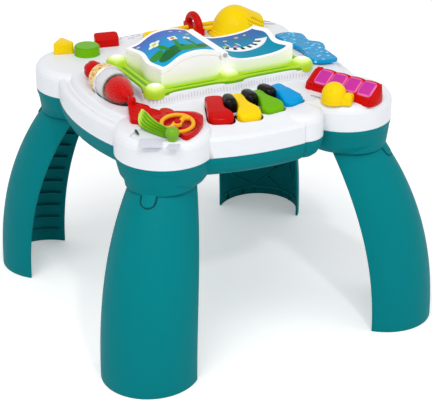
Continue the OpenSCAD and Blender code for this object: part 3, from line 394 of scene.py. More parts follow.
def grille_hole_shade(tree, colour):
    """Painted shade: dark dots for the shade in rows of small sound holes low on the front of the horn."""
    x, y, z = object_axis(tree)[:3]
    rows = all_of(tree, ripple(tree, maths(tree, "SUBTRACT", x, y), 0.0056), ripple(tree, z, 0.0036))
    field = all_of(tree, inside_band(tree, z, 0.327, 0.347, 0.0005), inside_band(tree, y, 0.100, 0.128, 0.001))
    return mix(tree, all_of(tree, steps(tree, rows, 0.35, 0.6), field), colour[:3], (0.42, 0.24, 0.0))


def cell_edge_highlight(tree, colour):
    """Painted highlight: paler rose along the edges of each clear cover, read from its own edge map."""
    rim = add(tree, "ShaderNodeAttribute", attribute_name="rim").outputs["Fac"]
    return mix(tree, rim, (0.56, 0.035, 0.34), (0.84, 0.17, 0.40))


def toy_plastic(name, colour, gloss=0.18, flow=0.06, paint=None):
    """Bright coloured plastic of the toys."""
    return plastic(name, colour, gloss=gloss, flow=flow, paint=paint, bump=0.015, spec=0.06)


def fine_plastic(name, colour, gloss, **more):
    """Plastic with a very even skin, for clear and printed pieces, and for the pale sheets of painted shade in the
    corner lobe.
    """
    return plastic(name, colour, gloss=gloss, bump=0.01, soften=0, **more)


finish = {
    "white": plastic("white_plastic", WHITE, gloss=0.38, flow=0.02, paint=shell_print, bump=0.02),
    # the book's white carries painted light: the frame's lime spill at its foot, and a faint glow of its own though
    # it is no lamp
    "white_book": plastic("white_book_plastic", (0.90, 0.905, 0.90), gloss=0.34, flow=0.02, paint=painted_lime_spill,
                          glow=0.1, bump=0.02),
    "white_skirt": plastic("white_scale_plastic", WHITE, gloss=0.38, flow=0.02, paint=tick_print, bump=0.02),
    "teal": plastic("teal_plastic", TEAL, gloss=0.5, marks=0.08, spec=0.05),
    # lighter teal for the ribs inside the back right leg: a painted highlight on the same plastic as the leg
    "teal_lit_net": plastic("teal_net_plastic", (0.012, 0.30, 0.28), gloss=0.5, spec=0.1),
    "teal_dark": plastic("teal_shadow_plastic", (0.0, 0.07, 0.075), gloss=0.6, spec=0.1, soften=0),
    "red": toy_plastic("red_plastic", RED),
    "yellow": toy_plastic("yellow_plastic", YELLOW, 0.2, 0.05),
    "horn": toy_plastic("yellow_horn_plastic", YELLOW, 0.2, 0.05, grille_hole_shade),
    "green": toy_plastic("green_plastic", GREEN),
    "blue": toy_plastic("blue_plastic", BLUE, flow=0.05),
    "orange": toy_plastic("orange_plastic", ORANGE, flow=0.05),
    "leaf": plastic("leaf_plastic", (0.27, 0.52, 0.01), gloss=0.3, flow=0.06, paint=leaf_painted_shading, bump=0.015,
                    spec=0.2, soften=0),
    "black": plastic("black_plastic", (0.004, 0.004, 0.005), gloss=0.12, bump=0.01, spec=0.14),
    "lime": plastic("lime_clear_plastic", LIME, gloss=0.22, paint=frame_painted_shading, glow=0.12, inner=0.2, bump=0.01,
                    spec=0.16),
    "ball": fine_plastic("ball_plastic", (0.16, 0.40, 0.005), 0.2, flow=0.06),
    "dome": fine_plastic("lamp_cover_plastic", LIME, 0.16, paint=dome_painted_glow, glow=0.2, spec=0.25),
    "cell": fine_plastic("magenta_clear_plastic", (0.60, 0.045, 0.34), 0.16, flow=0.08, paint=cell_edge_highlight,
                         inner=0.15, spec=0.06),
    "wave": fine_plastic("blue_clear_plastic", BLUE, 0.2, paint=wave_painted_shading, relief=wave_relief, spec=0.12),
    "pale_shade_sheet": fine_plastic("frosted_plastic", (0.66, 0.66, 0.76), 0.3),
    "amber": fine_plastic("chamber_plastic", (0.8, 0.45, 0.02), 0.14, paint=chamber_tint, spec=0.4),
    "left_print": fine_plastic("left_page_print", (0.1, 0.3, 0.6), 0.36, paint=left_art, spec=0.04),
    "right_print": fine_plastic("right_page_print_ink", (0.1, 0.3, 0.6), 0.36, paint=right_art, spec=0.03),
    "clear": clear_skin(plastic("clear_plastic", (0.94, 0.94, 0.96), gloss=0.05, flow=0.0, marks=0.02, bump=0.0,
                                soften=0, spec=0.5), 0.2),
    "silver": metal("silver_trim", (0.72, 0.73, 0.76), 0.25),
    "steel": metal("plated_steel", (0.62, 0.63, 0.64)),
    "cells": metal("cell_jacket", (0.70, 0.52, 0.22), 0.35),
    "bead": plastic("bead_plastic", (0.85, 0.42, 0.01), gloss=0.2, soften=0),
    "rubber": plastic("grey_rubber", (0.10, 0.10, 0.105), gloss=0.7, flow=0.1, bump=0.1),
    "board": plastic("board_lacquer", (0.01, 0.09, 0.03), gloss=0.4, flow=0.15, bump=0.05),
    "dark": plastic("dark_plastic", (0.02, 0.022, 0.024), gloss=0.5, flow=0.1, bump=0.05),
    "bulb": plastic("lamp_plastic", (0.95, 0.92, 0.75), gloss=0.1, glow=0.4, glow_colour=(1, 0.95, 0.7), soften=0),
}
# the finish that a carried-over node takes for its material slot
slot_finish = {slot: slot.removesuffix("_plastic") for slot in (
    "white_plastic", "teal_plastic", "red_plastic", "yellow_plastic", "green_plastic", "blue_plastic",
    "orange_plastic", "black_plastic", "clear_plastic", "bead_plastic", "dark_plastic", "bulb_plastic",
    "steel", "rubber", "board")}
slot_finish.update(lime_clear="lime", blue_clear="wave", magenta_clear="cell", blue_print="left_print",
                   cell_metal="cells")


def wear(obj, key):
    """Gives a carried-over node one of the finishes."""
    obj.data.materials.clear()
    obj.data.materials.append(finish[key])


for part in frame["record"]["subparts"]:
    wear(nodes[part["node"]], slot_finish[part["material_slot"]])
wear(nodes["right_page_print"], "right_print")
for name in ("book_base", "turning_page"):
    wear(nodes[name], "white_book")


# ---------------------------------------------------------------- mesh helpers


def piece(name, mesh, material, body, stands_for=(), smooth=40):
    """Turns a bmesh into a finished piece that rides on its body."""
    data = bpy.data.meshes.new(name)
    mesh.to_mesh(data)
    mesh.free()
    obj = bpy.data.objects.new(name, data)
    bpy.context.scene.collection.objects.link(obj)
    data.materials.append(finish[material])
    data.shade_smooth()
    data.set_sharp_from_angle(angle=math.radians(smooth))
    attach(obj, body)
    if stands_for:
        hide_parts(*stands_for)
    return obj


def sheet_of(columns, rows, place):
    """Grid whose point (u, v), each from 0 to 1, goes where place(u, v) says."""
    mesh = bmesh.new()
    bmesh.ops.create_grid(mesh, x_segments=columns, y_segments=rows, size=0.5)
    for v in mesh.verts:
        v.co = place(v.co.x + 0.5, v.co.y + 0.5)
    return mesh


def thicken(obj, thickness, offset=-1.0, rim=0.0008):
    """Gives a sheet its wall, and rounds the wall's edges by rim."""
    wall = obj.modifiers.new("wall", "SOLIDIFY")
    wall.thickness, wall.offset, wall.use_even_offset = thickness, offset, True
    if rim:
        edge = obj.modifiers.new("edge", "BEVEL")
        edge.width, edge.segments, edge.limit_method, edge.angle_limit = rim, 2, "ANGLE", math.radians(50)


def merge_into(target, other):
    """Adds the faces of bmesh other to bmesh target."""
    data = bpy.data.meshes.new("joined")
    other.to_mesh(data)
    other.free()
    target.from_mesh(data)
    bpy.data.meshes.remove(data)


def soften(name, width, segments=3, angle=32):
    """Rounds the edges of a carried-over node with modifiers; its own mesh stays as it is."""
    obj = nodes[name]
    obj.modifiers.new("weld", "WELD").merge_threshold = 0.00002
    flat = obj.modifiers.new("flat", "DECIMATE")
    flat.decimate_type, flat.angle_limit = "DISSOLVE", math.radians(1.0)
    edge = obj.modifiers.new("edge", "BEVEL")
    edge.width, edge.segments = width, segments
    edge.limit_method, edge.angle_limit = "ANGLE", math.radians(angle)
    edge.use_clamp_overlap, edge.miter_outer = True, "MITER_ARC"


def along(points, t, closed=False):
    """Point t of the way along a smooth line through the points."""
    count = len(points) if closed else len(points) - 1
    k = min(int(t * count), count - 1)
    f = t * count - k
    a, b, c, d = [Vector(points[i % count] if closed else points[max(0, min(i, count))]) for i in range(k - 1, k + 3)]
    curve = (2 * a - 5 * b + 4 * c - d) * f ** 2 + (3 * b - 3 * c + d - a) * f ** 3
    return 0.5 * (2 * b + (c - a) * f + curve)


def smooth_line(points, count):
    """The smooth line through the points, as count + 1 plain points."""
    return [tuple(along(points, k / count)) for k in range(count + 1)]


def tube_of(around, steps_along, place):
    """Closed skin: place(u, v) gives the point u of the way round the section v of the way along."""
    mesh = sheet_of(around, steps_along, place)
    bmesh.ops.remove_doubles(mesh, verts=mesh.verts, dist=1e-6)
    bmesh.ops.holes_fill(mesh, edges=[e for e in mesh.edges if e.is_boundary], sides=0)
    bmesh.ops.recalc_face_normals(mesh, faces=mesh.faces)
    return mesh


def turned(profile, at, around=48):
    """Solid of revolution from a line of (radius, height), in millimetres from at."""
    mesh = bmesh.new()
    line = [mesh.verts.new((r / 1000, 0, z / 1000)) for r, z in profile]
    edges = [mesh.edges.new(pair) for pair in zip(line, line[1:])]
    bmesh.ops.spin(mesh, geom=line + edges, cent=(0, 0, 0), axis=(0, 0, 1), angle=TURN, steps=around,
                   use_merge=True)
    bmesh.ops.remove_doubles(mesh, verts=mesh.verts, dist=1e-6)
    bmesh.ops.recalc_face_normals(mesh, faces=mesh.faces)
    bmesh.ops.translate(mesh, verts=mesh.verts, vec=Vector(at) / 1000)
    return mesh


def rounded_box(width, depth, power, count):
    """Points of a plan between an oval (power 1) and a rectangle (power near 0)."""
    line = []
    for k in range(count):
        a = TURN * (k + 0.5) / count
        across, down = math.cos(a), math.sin(a)
        line.append((math.copysign(abs(across) ** power, across) * width / 2,
                     math.copysign(abs(down) ** power, down) * depth / 2))
    return line


def bead(points, radius, around=12, columns=40):
    """Rounded bead of plastic that follows a smooth line of points in millimetres."""
    def place(u, v):
        here = along(points, v)
        ahead = (along(points, min(v + 0.01, 1)) - along(points, max(v - 0.01, 0))).normalized()
        side = ahead.cross(Vector((0, 0, 1))).normalized()
        reach = radius * math.sqrt(max(1 - abs(2 * v - 1) ** 14, 0))
        turn = TURN * u
        return (here + side * reach * math.cos(turn) + side.cross(ahead) * reach * math.sin(turn)) / 1000
    return tube_of(around, columns, place)


def raised(outline, centre, top, low, edge, around=96):
    """Moulded form on an outline round a centre: upright wall from low, rounded edge, then the height top(x, y).

    All lengths are in millimetres.
    """
    middle = Vector(centre)

    def place(u, v):
        start = along(outline, u, True)
        way = middle - start
        reach = way.length
        turn = math.pi / 2 * min(max((v - 0.2) / 0.4, 0), 1)
        inset = edge * (1 - math.cos(turn)) + (reach - edge) * max(v - 0.6, 0) / 0.4
        spot_at = start + way / reach * inset
        height = top(*spot_at) - edge * (1 - math.sin(turn))
        if v < 0.2:
            height = low + (height - low) * v / 0.2
        return Vector((*spot_at, height)) / 1000
    return tube_of(around, 20, place)


def moved(mesh, matrix):
    """The mesh, after the matrix has placed it."""
    bmesh.ops.transform(mesh, matrix=matrix, verts=mesh.verts)
    return mesh


def gathered(meshes):
    """One mesh that holds all the others."""
    whole = bmesh.new()
    for mesh in meshes:
        merge_into(whole, mesh)
    return whole


def at_turn(x, y, z, turn):
    """Place in millimetres, turned by degrees about the upright axis."""
    return Matrix.Translation((x / 1000, y / 1000, z / 1000)) @ Matrix.Rotation(math.radians(turn), 4, "Z")


# ---------------------------------------------------------------- legs
LEG_TAPER, LEG_TOP, LEG_WALL = 0.264, 0.249, 0.0032  # height the taper is given over, top of the skin, wall
LEGS = {"front_left": 225, "front_right": 315, "back_left": 135, "back_right": 45}


def leg_section(height):
    """Half ellipse of a leg at a height: distance of its middle line, its reach outward and its half width."""
    k = height / LEG_TAPER
    return (0.1777 - 0.055 * k ** 2.21) * math.sqrt(2), 0.0671 - 0.0079 * k ** 5, 0.0642 - 0.0262 * k ** 3.26


def leg_point(turn, angle, height, cut=0.0):
    """Point on a leg's skin, or cut inside it: angle across from -90 to 90, height and cut in metres."""
    away, reach, half = leg_section(height)
    bend = math.radians(angle)
    place = Vector((away + (reach - cut) * math.cos(bend), (half - cut) * math.sin(bend), height))
    return Matrix.Rotation(math.radians(turn), 3, "Z") @ place


def leg_rib(turn, ends, height=0.0018, columns=24, deep=0.0062):
    """Thin rib on the inside of a leg from one (angle, height) to another."""
    (a0, z0), (a1, z1) = ends
    mesh = bmesh.new()
    for lift in (-height / 2, height / 2):
        merge_into(mesh, sheet_of(columns, 1, lambda u, v: leg_point(
            turn, a0 + (a1 - a0) * u, z0 + (z1 - z0) * u + lift, 0.0022 + deep * v)))
    bmesh.ops.bridge_loops(mesh, edges=[e for e in mesh.edges if e.is_boundary])
    bmesh.ops.recalc_face_normals(mesh, faces=mesh.faces)
    return mesh


# ribs of the net inside the back right leg: angle and height in millimetres at both ends
LEG_NET = [(59, 40, 23, 15), (23, 15, 3, 34), (3, 34, -19, 13), (-19, 13, -55, 38), (3, 34, -11, 48),
           (23, 15, 23, 3), (-19, 13, -20, 2), (41, 13, 41, 2), (71, 15, 71, 4), (-38, 12, -39, 2),
           (59, 40, 74, 58), (-55, 38, -72, 60), (59, 40, 40, 62), (-11, 48, 10, 72), (-11, 48, -38, 66),
           (40, 62, 10, 72), (-55, 38, -38, 66), (10, 72, 20, 98), (-38, 66, -30, 98), (40, 62, 60, 98)]

for place, turn in LEGS.items():
    shell = sheet_of(48, 40, lambda u, v: leg_point(turn, 180 * u - 90, LEG_TOP * v))
    bmesh.ops.recalc_face_normals(shell, faces=shell.faces)
    outward = Matrix.Rotation(math.radians(turn), 3, "Z") @ Vector((1, 0, 0))
    middle = min(shell.faces, key=lambda f: (f.calc_center_median() - leg_point(turn, 0, 0.12)).length)
    if middle.normal.dot(outward) < 0:
        bmesh.ops.reverse_faces(shell, faces=shell.faces)
    leg = piece("leg_shell_" + place, shell, "teal", "table", ["leg_" + place])
    thicken(leg, LEG_WALL)
    ribs = bmesh.new()
    if place == "back_right":
        for a0, z0, a1, z1 in LEG_NET:
            merge_into(ribs, leg_rib(turn, ((a0, z0 / 1000), (a1 + 0.01, z1 / 1000)), 0.0014, 12, 0.004))
        rings = [(0.0135, 0.0030), (0.100, 0.0062), (0.150, 0.0062), (0.200, 0.0062)]
    else:
        rings = [(0.0205 * k, 0.0062) for k in range(1, 12)]
    for level, deep in rings:
        merge_into(ribs, leg_rib(turn, ((-84, level), (84, level)), 0.0018, 24, deep))
    # the back right leg's ribs take the lighter teal as a painted highlight
    piece("leg_ribs_" + place, ribs, "teal_lit_net" if place == "back_right" else "teal", "table")


# ---------------------------------------------------------------- light frame round the book
FRAME_CORNER, FRAME_SIDES, FRAME_REACH = 20.0, (102, 202), (121, 71)


def frame_point(v):
    """Point and outward direction on the outer edge of the light frame, in millimetres."""
    walk = (v % 1.0) * (2 * sum(FRAME_SIDES) + TURN * FRAME_CORNER)
    for k in range(4):
        wide, run = FRAME_REACH[k % 2], FRAME_SIDES[k % 2]
        turn = Matrix.Rotation(k * math.pi / 2, 2)
        if walk <= run:
            return turn @ Vector((wide, walk - run / 2)), turn @ Vector((1, 0))
        walk -= run
        bend = walk / FRAME_CORNER
        if bend <= math.pi / 2 or k == 3:
            out = Vector((math.cos(bend), math.sin(bend)))
            return turn @ (Vector((wide - FRAME_CORNER, run / 2)) + out * FRAME_CORNER), turn @ out
        walk -= FRAME_CORNER * math.pi / 2


def near_lamps(place):
    """1 at a lamp, falling off smoothly to nothing some 35 mm away."""
    return sum(math.exp(-((place - Vector(lamp_at)).length / 17) ** 2) for lamp_at in LAMPS)


def frame_band(section, around, swell, lift):
    """Closed band on a section of (distance out, height) that swells round each lamp."""
    def place(u, v):
        base, out = frame_point(v)
        away, height = along(section, u, True)
        near = near_lamps(base - out * FRAME_CORNER / 2)
        spread = swell * near * (1 if away > 10 else -0.4)
        rise = lift * near * max(0, min(1, (height - 326) / 6))
        return Vector((*(base + out * (away - FRAME_CORNER + spread)), height + rise)) / 1000
    return tube_of(around, 420, place)


lime_section = [(1, 329), (1, 334.5), (2.2, 337), (4.2, 338), (6, 337.2), (7.6, 335.6), (10.4, 335.6), (12, 337.2),
                (13.8, 337.8), (15.6, 336.6), (17, 334), (17.2, 329)]
piece("light_frame", frame_band(lime_section, 48, 5.0, 4.0), "lime", "table", ["light_ring"])
skirt_section = [(15, 331), (15.8, 334.2), (17.6, 333.6), (19, 329.5), (20, 323.5), (20, 320.6), (15, 320.6)]
piece("light_skirt", frame_band(skirt_section, 28, 5.0, 1.6), "white_skirt", "table")
dome_line = [(15.2, 331), (15.0, 336.5), (13.6, 340.6), (10.4, 344), (5.4, 346.1), (0, 346.8)]
piece("lamp_covers", gathered([turned(smooth_line(dome_line, 15), (x, y, 0)) for x, y in LAMPS]),
      "dome", "table")

# ---------------------------------------------------------------- piano
# the keys fan out from one point: turn in degrees and distance in millimetres of each front and each black key
FAN = Vector((-3, 17))
KEY_TURN, KEY_FRONT = (-19, -7, 5.5, 18), (187, 185, 178, 175)
BLACK_TURN, BLACK_AT = (-13, -0.75, 11.75), (146, 139, 135)


def fan_point(turn, x, r):
    """Point x across and r out on a key, as a point on the table in millimetres."""
    return FAN + Matrix.Rotation(math.radians(turn), 2) @ Vector((x, -r))


def key_outline(i):
    """Plan of one coloured key, with a notch beside each black key."""
    front = KEY_FRONT[i]

    def side(s):
        b = i - 1 if s < 0 else i
        if 0 <= b < 3:
            foot = BLACK_AT[b] + 14
            return [(7.2 * s, 128), (7.6 * s, foot - 7), (9.6 * s, foot + 0.5), (12.8 * s, foot + 7),
                    (15.6 * s, foot + 14)]
        return [(13 * s, 128), (14 * s, 142), (15.4 * s, 155), (16.4 * s, 166)]
    nose = [(-16.2, front - 9), (-13.2, front - 2.6), (-7, front), (7, front), (13.2, front - 2.6), (16.2, front - 9)]
    line = side(-1) + nose + side(1)[::-1]
    return [fan_point(KEY_TURN[i], x, r) for x, r in line]


def key_top(i):
    """Height of one key's top, which falls towards its front."""
    rise = [(-40, 338.5), (128, 335), (150, 333.4), (KEY_FRONT[i] - 14, 330.6), (KEY_FRONT[i] - 4, 328),
            (KEY_FRONT[i] + 2, 325.6), (400, 325)]

    def top(x, y):
        r = (Vector((x, y)) - FAN).length
        for (r0, z0), (r1, z1) in zip(rise, rise[1:]):
            if r <= r1:
                return z0 + (z1 - z0) * (r - r0) / (r1 - r0)
    return top


for i, tint in enumerate(("red", "yellow", "green", "blue")):
    cap = raised(key_outline(i), fan_point(KEY_TURN[i], 0, KEY_FRONT[i] - 22), key_top(i), 309, 4.2, 120)
    piece(tint + "_key_cap", cap, tint, tint + "_piano_key", [tint + "_key"], smooth=60)
oval = [(-5.6, -11.6), (0, -12.6), (5.6, -11.6), (8, -7.6), (8.3, 1), (7.6, 9), (4.6, 14.4), (0, 15.4), (-4.6, 14.4),
        (-7.6, 9), (-8.3, 1), (-8, -7.6)]
black = []
for turn, r in zip(BLACK_TURN, BLACK_AT):
    at = fan_point(turn, 0, r)
    cap = raised(oval, (0, 0), lambda x, y: 340 - 0.025 * x * x - 0.008 * y * y, 320.5, 5, 48)
    black.append(moved(cap, at_turn(at.x, at.y, 0, turn)))
piece("black_key_caps", gathered(black), "black", "table", ["black_keys"], smooth=70)

# ---------------------------------------------------------------- accordion and slider
ACC = at_turn(120.8, -140.5, 321, -66)
CELL_PITCH, CELL_WIDE, CELL_DEEP = 22.5, 21.4, 24
acc_section = [(-14, -3), (-14, 6), (-12.6, 9.6), (-4, 15.4), (5, 21), (9, 22.6), (12.6, 21.4), (14, 17), (14, -3)]


def acc_place(u, v):
    """Accordion's body: four swells beside the cells, close pleats at both ends, closed at the tips."""
    x = -49 + 108 * v
    if -36 < x < 54:
        swell = 0.985 + 0.055 * abs(math.sin(math.pi * (x + 36) / CELL_PITCH)) ** 0.6
    else:
        swell = 0.99 + 0.08 * abs(math.sin(math.pi * (x + 36) / 4.4)) ** 0.8
    tip = math.sqrt(max(1 - abs(2 * v - 1) ** 26, 0))
    y, z = along(acc_section, u, True)
    return Vector((x, y * swell * tip, z * swell * tip if z > 0 else z * tip)) / 1000


piece("accordion_body", moved(tube_of(54, 150, acc_place), ACC), "red", "table", ["accordion_frame"],
      smooth=55)


def cell_cover():
    """Clear cover of one accordion cell."""
    outline = rounded_box(CELL_WIDE, CELL_DEEP, 0.4, 24)
    return raised(outline, (0, 0), lambda x, y: 3.6 + 0.5 * math.cos(x / 6), -2, 1.5, 72)


tilt = Matrix.Translation((0, 0.0006, 0.0162)) @ Matrix.Rotation(math.radians(32.2), 4, "X")
cells = [moved(cell_cover(), ACC @ tilt @ Matrix.Translation(((9 + CELL_PITCH * k) / 1000, -0.003, 0)))
         for k in (-1.5, -0.5, 0.5, 1.5)]
covers = piece("accordion_cells", gathered(cells), "cell", "table", ["accordion_bars"], smooth=60)
# edge map that carries the painted highlight along the edges of each cover
rim = covers.data.attributes.new("rim", "FLOAT", "POINT")
for v in covers.data.vertices:
    local = ((ACC @ tilt).inverted() @ v.co) * 1000
    far_x = abs((local.x - 9 + 2 * CELL_PITCH) % CELL_PITCH - CELL_PITCH / 2) / (CELL_WIDE / 2)
    far_y = abs(local.y + 3) / (CELL_DEEP / 2)
    rim.data[v.index].value = min(1, max(0, (max(far_x, far_y) - 0.80) / 0.10))

# lobed end of the slider
end_piece = raised(rounded_box(25, 13.2, 0.8, 20), (0, 0),
                   lambda x, y: 332.5 - 0.022 * x * x + 1.4 * abs(math.cos(x / 3.1)) ** 0.6, 321.7, 4, 72)
piece("slider_lobe", moved(end_piece, at_turn(109.5, -174.5, 0, 28)), "yellow", "slider", smooth=60)

# ---------------------------------------------------------------- wave plate
wave_outline = [(151, 83), (160, 84), (168.3, 82.8), (178, 76), (183.5, 68), (182.5, 56), (179.5, 45), (181, 36),
                (187.6, 29.5), (190.5, 20), (187, 8), (181.5, -3), (179.5, -18), (178, -32), (177, -40),
                (175.5, -43), (168, -45.5), (152, -42.5), (143, -35), (141.5, -24), (144.5, -10), (150, 5),
                (150, 26), (148, 47), (146, 69), (146.5, 79)]
piece("wave_cover", raised(wave_outline, (164, 16), lambda x, y: 328.8, 324, 2.2, 192), "wave", "wave",
      ["wave_plate"], smooth=60)

# ---------------------------------------------------------------- guitar corner
STRUM_AT = (-143, -180)
LEAF_AT = at_turn(*STRUM_AT, 323.6, 115) @ Matrix.Rotation(math.radians(121), 4, "X")
leaf_low = [(1, 1.6), (10, -1.2), (28, -1.2), (46, 0.4), (55, 2.8), (60, 8.6), (61.5, 16)]
leaf_high = [(1, 8.5), (10, 10.6), (22, 12), (34, 14.2), (45, 18), (53, 21.6), (60, 23.5)]


def leaf_place(u, v):
    """Leaf u of the way out along its stem and v of the way across, with lengthwise ridges."""
    a, b = along(leaf_low, u), along(leaf_high, u)
    point = a + (b - a) * v
    ridge = 1.3 * abs(math.sin(4.5 * math.pi * v)) * min(1, 6 * u) * min(1, 8 * (1 - u) + 0.2)
    return LEAF_AT @ (Vector((*point, 3.0 + ridge)) / 1000)


leaf = sheet_of(60, 54, leaf_place)
layer = leaf.loops.layers.uv.new("across")
bmesh.ops.recalc_face_normals(leaf, faces=leaf.faces)
for face in leaf.faces:
    for loop in face.loops:
        local = (LEAF_AT.inverted() @ loop.vert.co) * 1000
        loop[layer].uv = (local.x / 60, local.z)
strum_leaf = piece("strum_leaf", leaf, "leaf", "strummer", ["strum_lever"], smooth=80)
thicken(strum_leaf, 0.0024, 0.0, 0)
ball_line = [(0, 321.4), (6, 321.4), (6.4, 324), (8.3, 327.5), (8.6, 331), (7, 335.4), (3.6, 337.8), (0, 338.4)]
hub = turned(smooth_line(ball_line, 28), (*STRUM_AT, 0))
piece("strum_ball", hub, "ball", "strummer", smooth=60)
WHEEL_AT = (-122, -151)
guitar_line = [(-166, -108), (-158, -85), (-152, -71), (-146, -65.5), (-139.5, -65.5), (-135, -72), (-131, -81),
               (-129.6, -91), (-127.5, -99.5), (-123, -100), (-118, -95), (-112, -95), (-107, -102),
               (-106, -111), (-100, -117), (-92, -119.5), (-86, -122), (-82.5, -127), (-81.5, -134),
               (-83.5, -145), (-89.5, -157), (-98.5, -168.5), (-108, -178), (-119, -185.5), (-127, -189),
               (-131, -185), (-131.5, -177), (-135, -170), (-139, -160), (-144, -148), (-149, -136),
               (-154, -126), (-160, -117)]


def guitar_top(x, y):
    """Height of the guitar's top: pocket for the wheel, rim round it, and frets on the neck."""
    ring = math.hypot(x - WHEEL_AT[0], y - WHEEL_AT[1])
    if ring < 28:
        return 321.6 + 5.6 * max(0, (ring - 24.5) / 3.5)
    rim = math.exp(-((ring - 38) / 4.5) ** 2) * (1 if x > -118 and y < -112 else 0)
    fret = abs(math.sin(math.pi * (x * 0.88 + y * 0.47) / 5.6)) ** 0.7 if y > -112 and x < -124 else 0
    return 327.2 + 1.6 * rim + 2.6 * fret * min(1, max(0, (y + 112) / 5))


body = raised(guitar_line, WHEEL_AT, guitar_top, 321.1, 1.8, 264)
bmesh.ops.subdivide_edges(body, edges=[e for e in body.edges if e.calc_length() > 0.003], cuts=2, use_grid_fill=True)
for v in body.verts:
    x, y, z = v.co * 1000
    if z > 326.6:
        v.co.z = guitar_top(x, y) / 1000
piece("guitar_cover", body, "red", "table", ["guitar_body"], smooth=50)
tip_back = Matrix.Rotation(math.radians(-4), 4, "Y") @ Matrix.Rotation(math.radians(9), 4, "X")
wheel = at_turn(*WHEEL_AT, 328, 0) @ tip_back
loop = [(19.8 + 2.7 * math.cos(TURN * k / 12), 2.7 * math.sin(TURN * k / 12)) for k in range(13)]  # the round rim
nave = [(2.62, -2), (6, -2), (6, 1.4), (4.6, 2.5), (2.62, 2.5), (2.62, -2)]
spokes = [turned(loop, (0, 0, 0), 64), turned(nave, (0, 0, 0), 32)]
for s in (1, -1):
    spokes.append(bead([(4.5 * s, 0, 0.3), (9 * s, 4.6 * s, 0.6), (14 * s, 6.2 * s, 0.4), (19.2 * s, 3.4 * s, 0)],
                       3.3, 12, 24))
piece("swirl_wheel", moved(gathered(spokes), wheel), "orange", "spinner", ["spinner_ring"],
      smooth=60)
# two pale sheets of painted shade for shallow recesses, and a dark sheet of painted shade for a slot, in the corner
# lobe
recess_shade_sheets = {"left_recess_shade": [(-177, -157), (-152, -170), (-164, -195), (-189, -182)],
           "right_recess_shade": [(-152, -189), (-139, -196), (-149.5, -208), (-163, -200)]}
for name, line in recess_shade_sheets.items():
    middle = sum((Vector(p) for p in line), Vector((0, 0))) / 4
    corners = [middle + (Vector(p) - middle) * 0.99 for p in line]
    edge = [a + (b - a) * t for a, b in zip(corners, corners[1:] + corners[:1]) for t in (0.12, 0.37, 0.63, 0.88)]
    piece("lobe_" + name, raised(edge, middle, lambda x, y: 321.3, 320.7, 0.3, 64), "pale_shade_sheet", "table")
slot_line = [(-171.2, -131), (-168.2, -129.6), (-169.4, -137), (-171, -143.8), (-173.4, -144.6), (-172.6, -137)]
piece("lobe_slot", raised(slot_line, (-170.8, -137), lambda x, y: 321.28, 320.7, 0.2, 40), "dark", "table")

# ---------------------------------------------------------------- bell
BELL = Vector((112, 137))
horn_half = [(6, -30), (14, -30.5), (22, -28.5), (30, -25), (37, -20), (40, -13), (41, 0)]
horn_line = [tuple(BELL + Vector(p)) for p in horn_half + [(x, -y) for x, y in reversed(horn_half[:-1])]]


def horn_top(x, y):
    """Roof that falls from the dome's shoulder to the open end of the horn."""
    share = min(1, max(0, (x - BELL.x - 10) / 31))
    width = 33 - 11 * share
    return 321 + (38.4 - 16.4 * share) * math.sqrt(max(0.04, 1 - ((y - BELL.y) / width) ** 2))


piece("horn_cover", raised(horn_line, (BELL.x + 23, BELL.y), horn_top, 321.1, 1.2, 120), "horn", "table",
      smooth=50)

# ---------------------------------------------------------------- shaker
SHAKER_X = -146
SHAKER = at_turn(SHAKER_X, 0, 334, 0) @ Matrix.Rotation(math.radians(-90), 4, "X")
knob_line = [(2.3, 31), (8, 31), (8.6, 34.5), (10.6, 40), (12.8, 47), (13.2, 54), (11.4, 60.6), (7, 64.6), (0, 66)]


def knob_place(u, v):
    """Fluted grip at the back end of the shaker."""
    r, y = along(knob_line, v)
    turn = TURN * u
    groove = 1.5 * abs(math.sin(6 * turn / 2)) ** 0.5 * min(1, max(0, (y - 36) / 6)) * min(1, max(0, (66 - y) / 4))
    reach = r if r < 3 else r - 1.5 + groove
    return SHAKER @ (Vector((reach * math.cos(turn), reach * math.sin(turn), y)) / 1000)


piece("shaker_grip", tube_of(96, 44, knob_place), "red", "table", ["maraca_knob"], smooth=60)


def shaker_wall(outer, inner, around=72):
    """Turned wall between an outer and an inner line of (radius, distance along the shaker)."""
    line = smooth_line(outer, 30) + smooth_line(inner, 30)[::-1]
    return moved(turned(line + line[:1], (0, 0, 0), around), SHAKER)


dome_out = [(21, 0), (21.2, -10), (20.8, -24), (18.6, -38), (14, -50), (8, -58.6), (2.4, -61.8)]
dome_in = [(19.6, 0), (19.8, -10), (19.4, -23.7), (17.3, -37.2), (12.9, -48.8), (7.2, -57), (2.4, -60.2)]
chamber_out = [(21, 3), (21.2, 9), (20.9, 18), (19.2, 25.5), (15, 29.6), (2.4, 30.2)]
chamber_in = [(20.4, 3.2), (20.4, 9), (20, 17.4), (18.2, 24), (14.4, 28.2), (2.4, 28.9)]
piece("shaker_dome", shaker_wall(dome_out, dome_in), "clear", "shaker_drum", ["maraca_bulb"],
      smooth=60)
piece("shaker_chamber", shaker_wall(chamber_out, chamber_in), "amber", "shaker_drum",
      ["maraca_beads"], smooth=60)
hoop = [(20, 3.6), (22, 3.6), (22.5, 2.8), (21.5, 1.7), (22.5, 0.6), (22, -0.2), (20, -0.2), (20, 3.6)]
piece("shaker_hoop", moved(turned(hoop, (0, 0, 0), 72), SHAKER), "silver", "shaker_drum", smooth=30)
cup = [(2.4, -59.4), (6.6, -56.4), (12.2, -48.4), (16.6, -37), (18.4, -26), (18, -24.6), (2.4, -24.6), (2.4, -59.4)]
piece("shaker_cup", moved(turned(cup, (0, 0, 0), 64), SHAKER), "red", "shaker_drum", ["maraca_cone"],
      smooth=50)
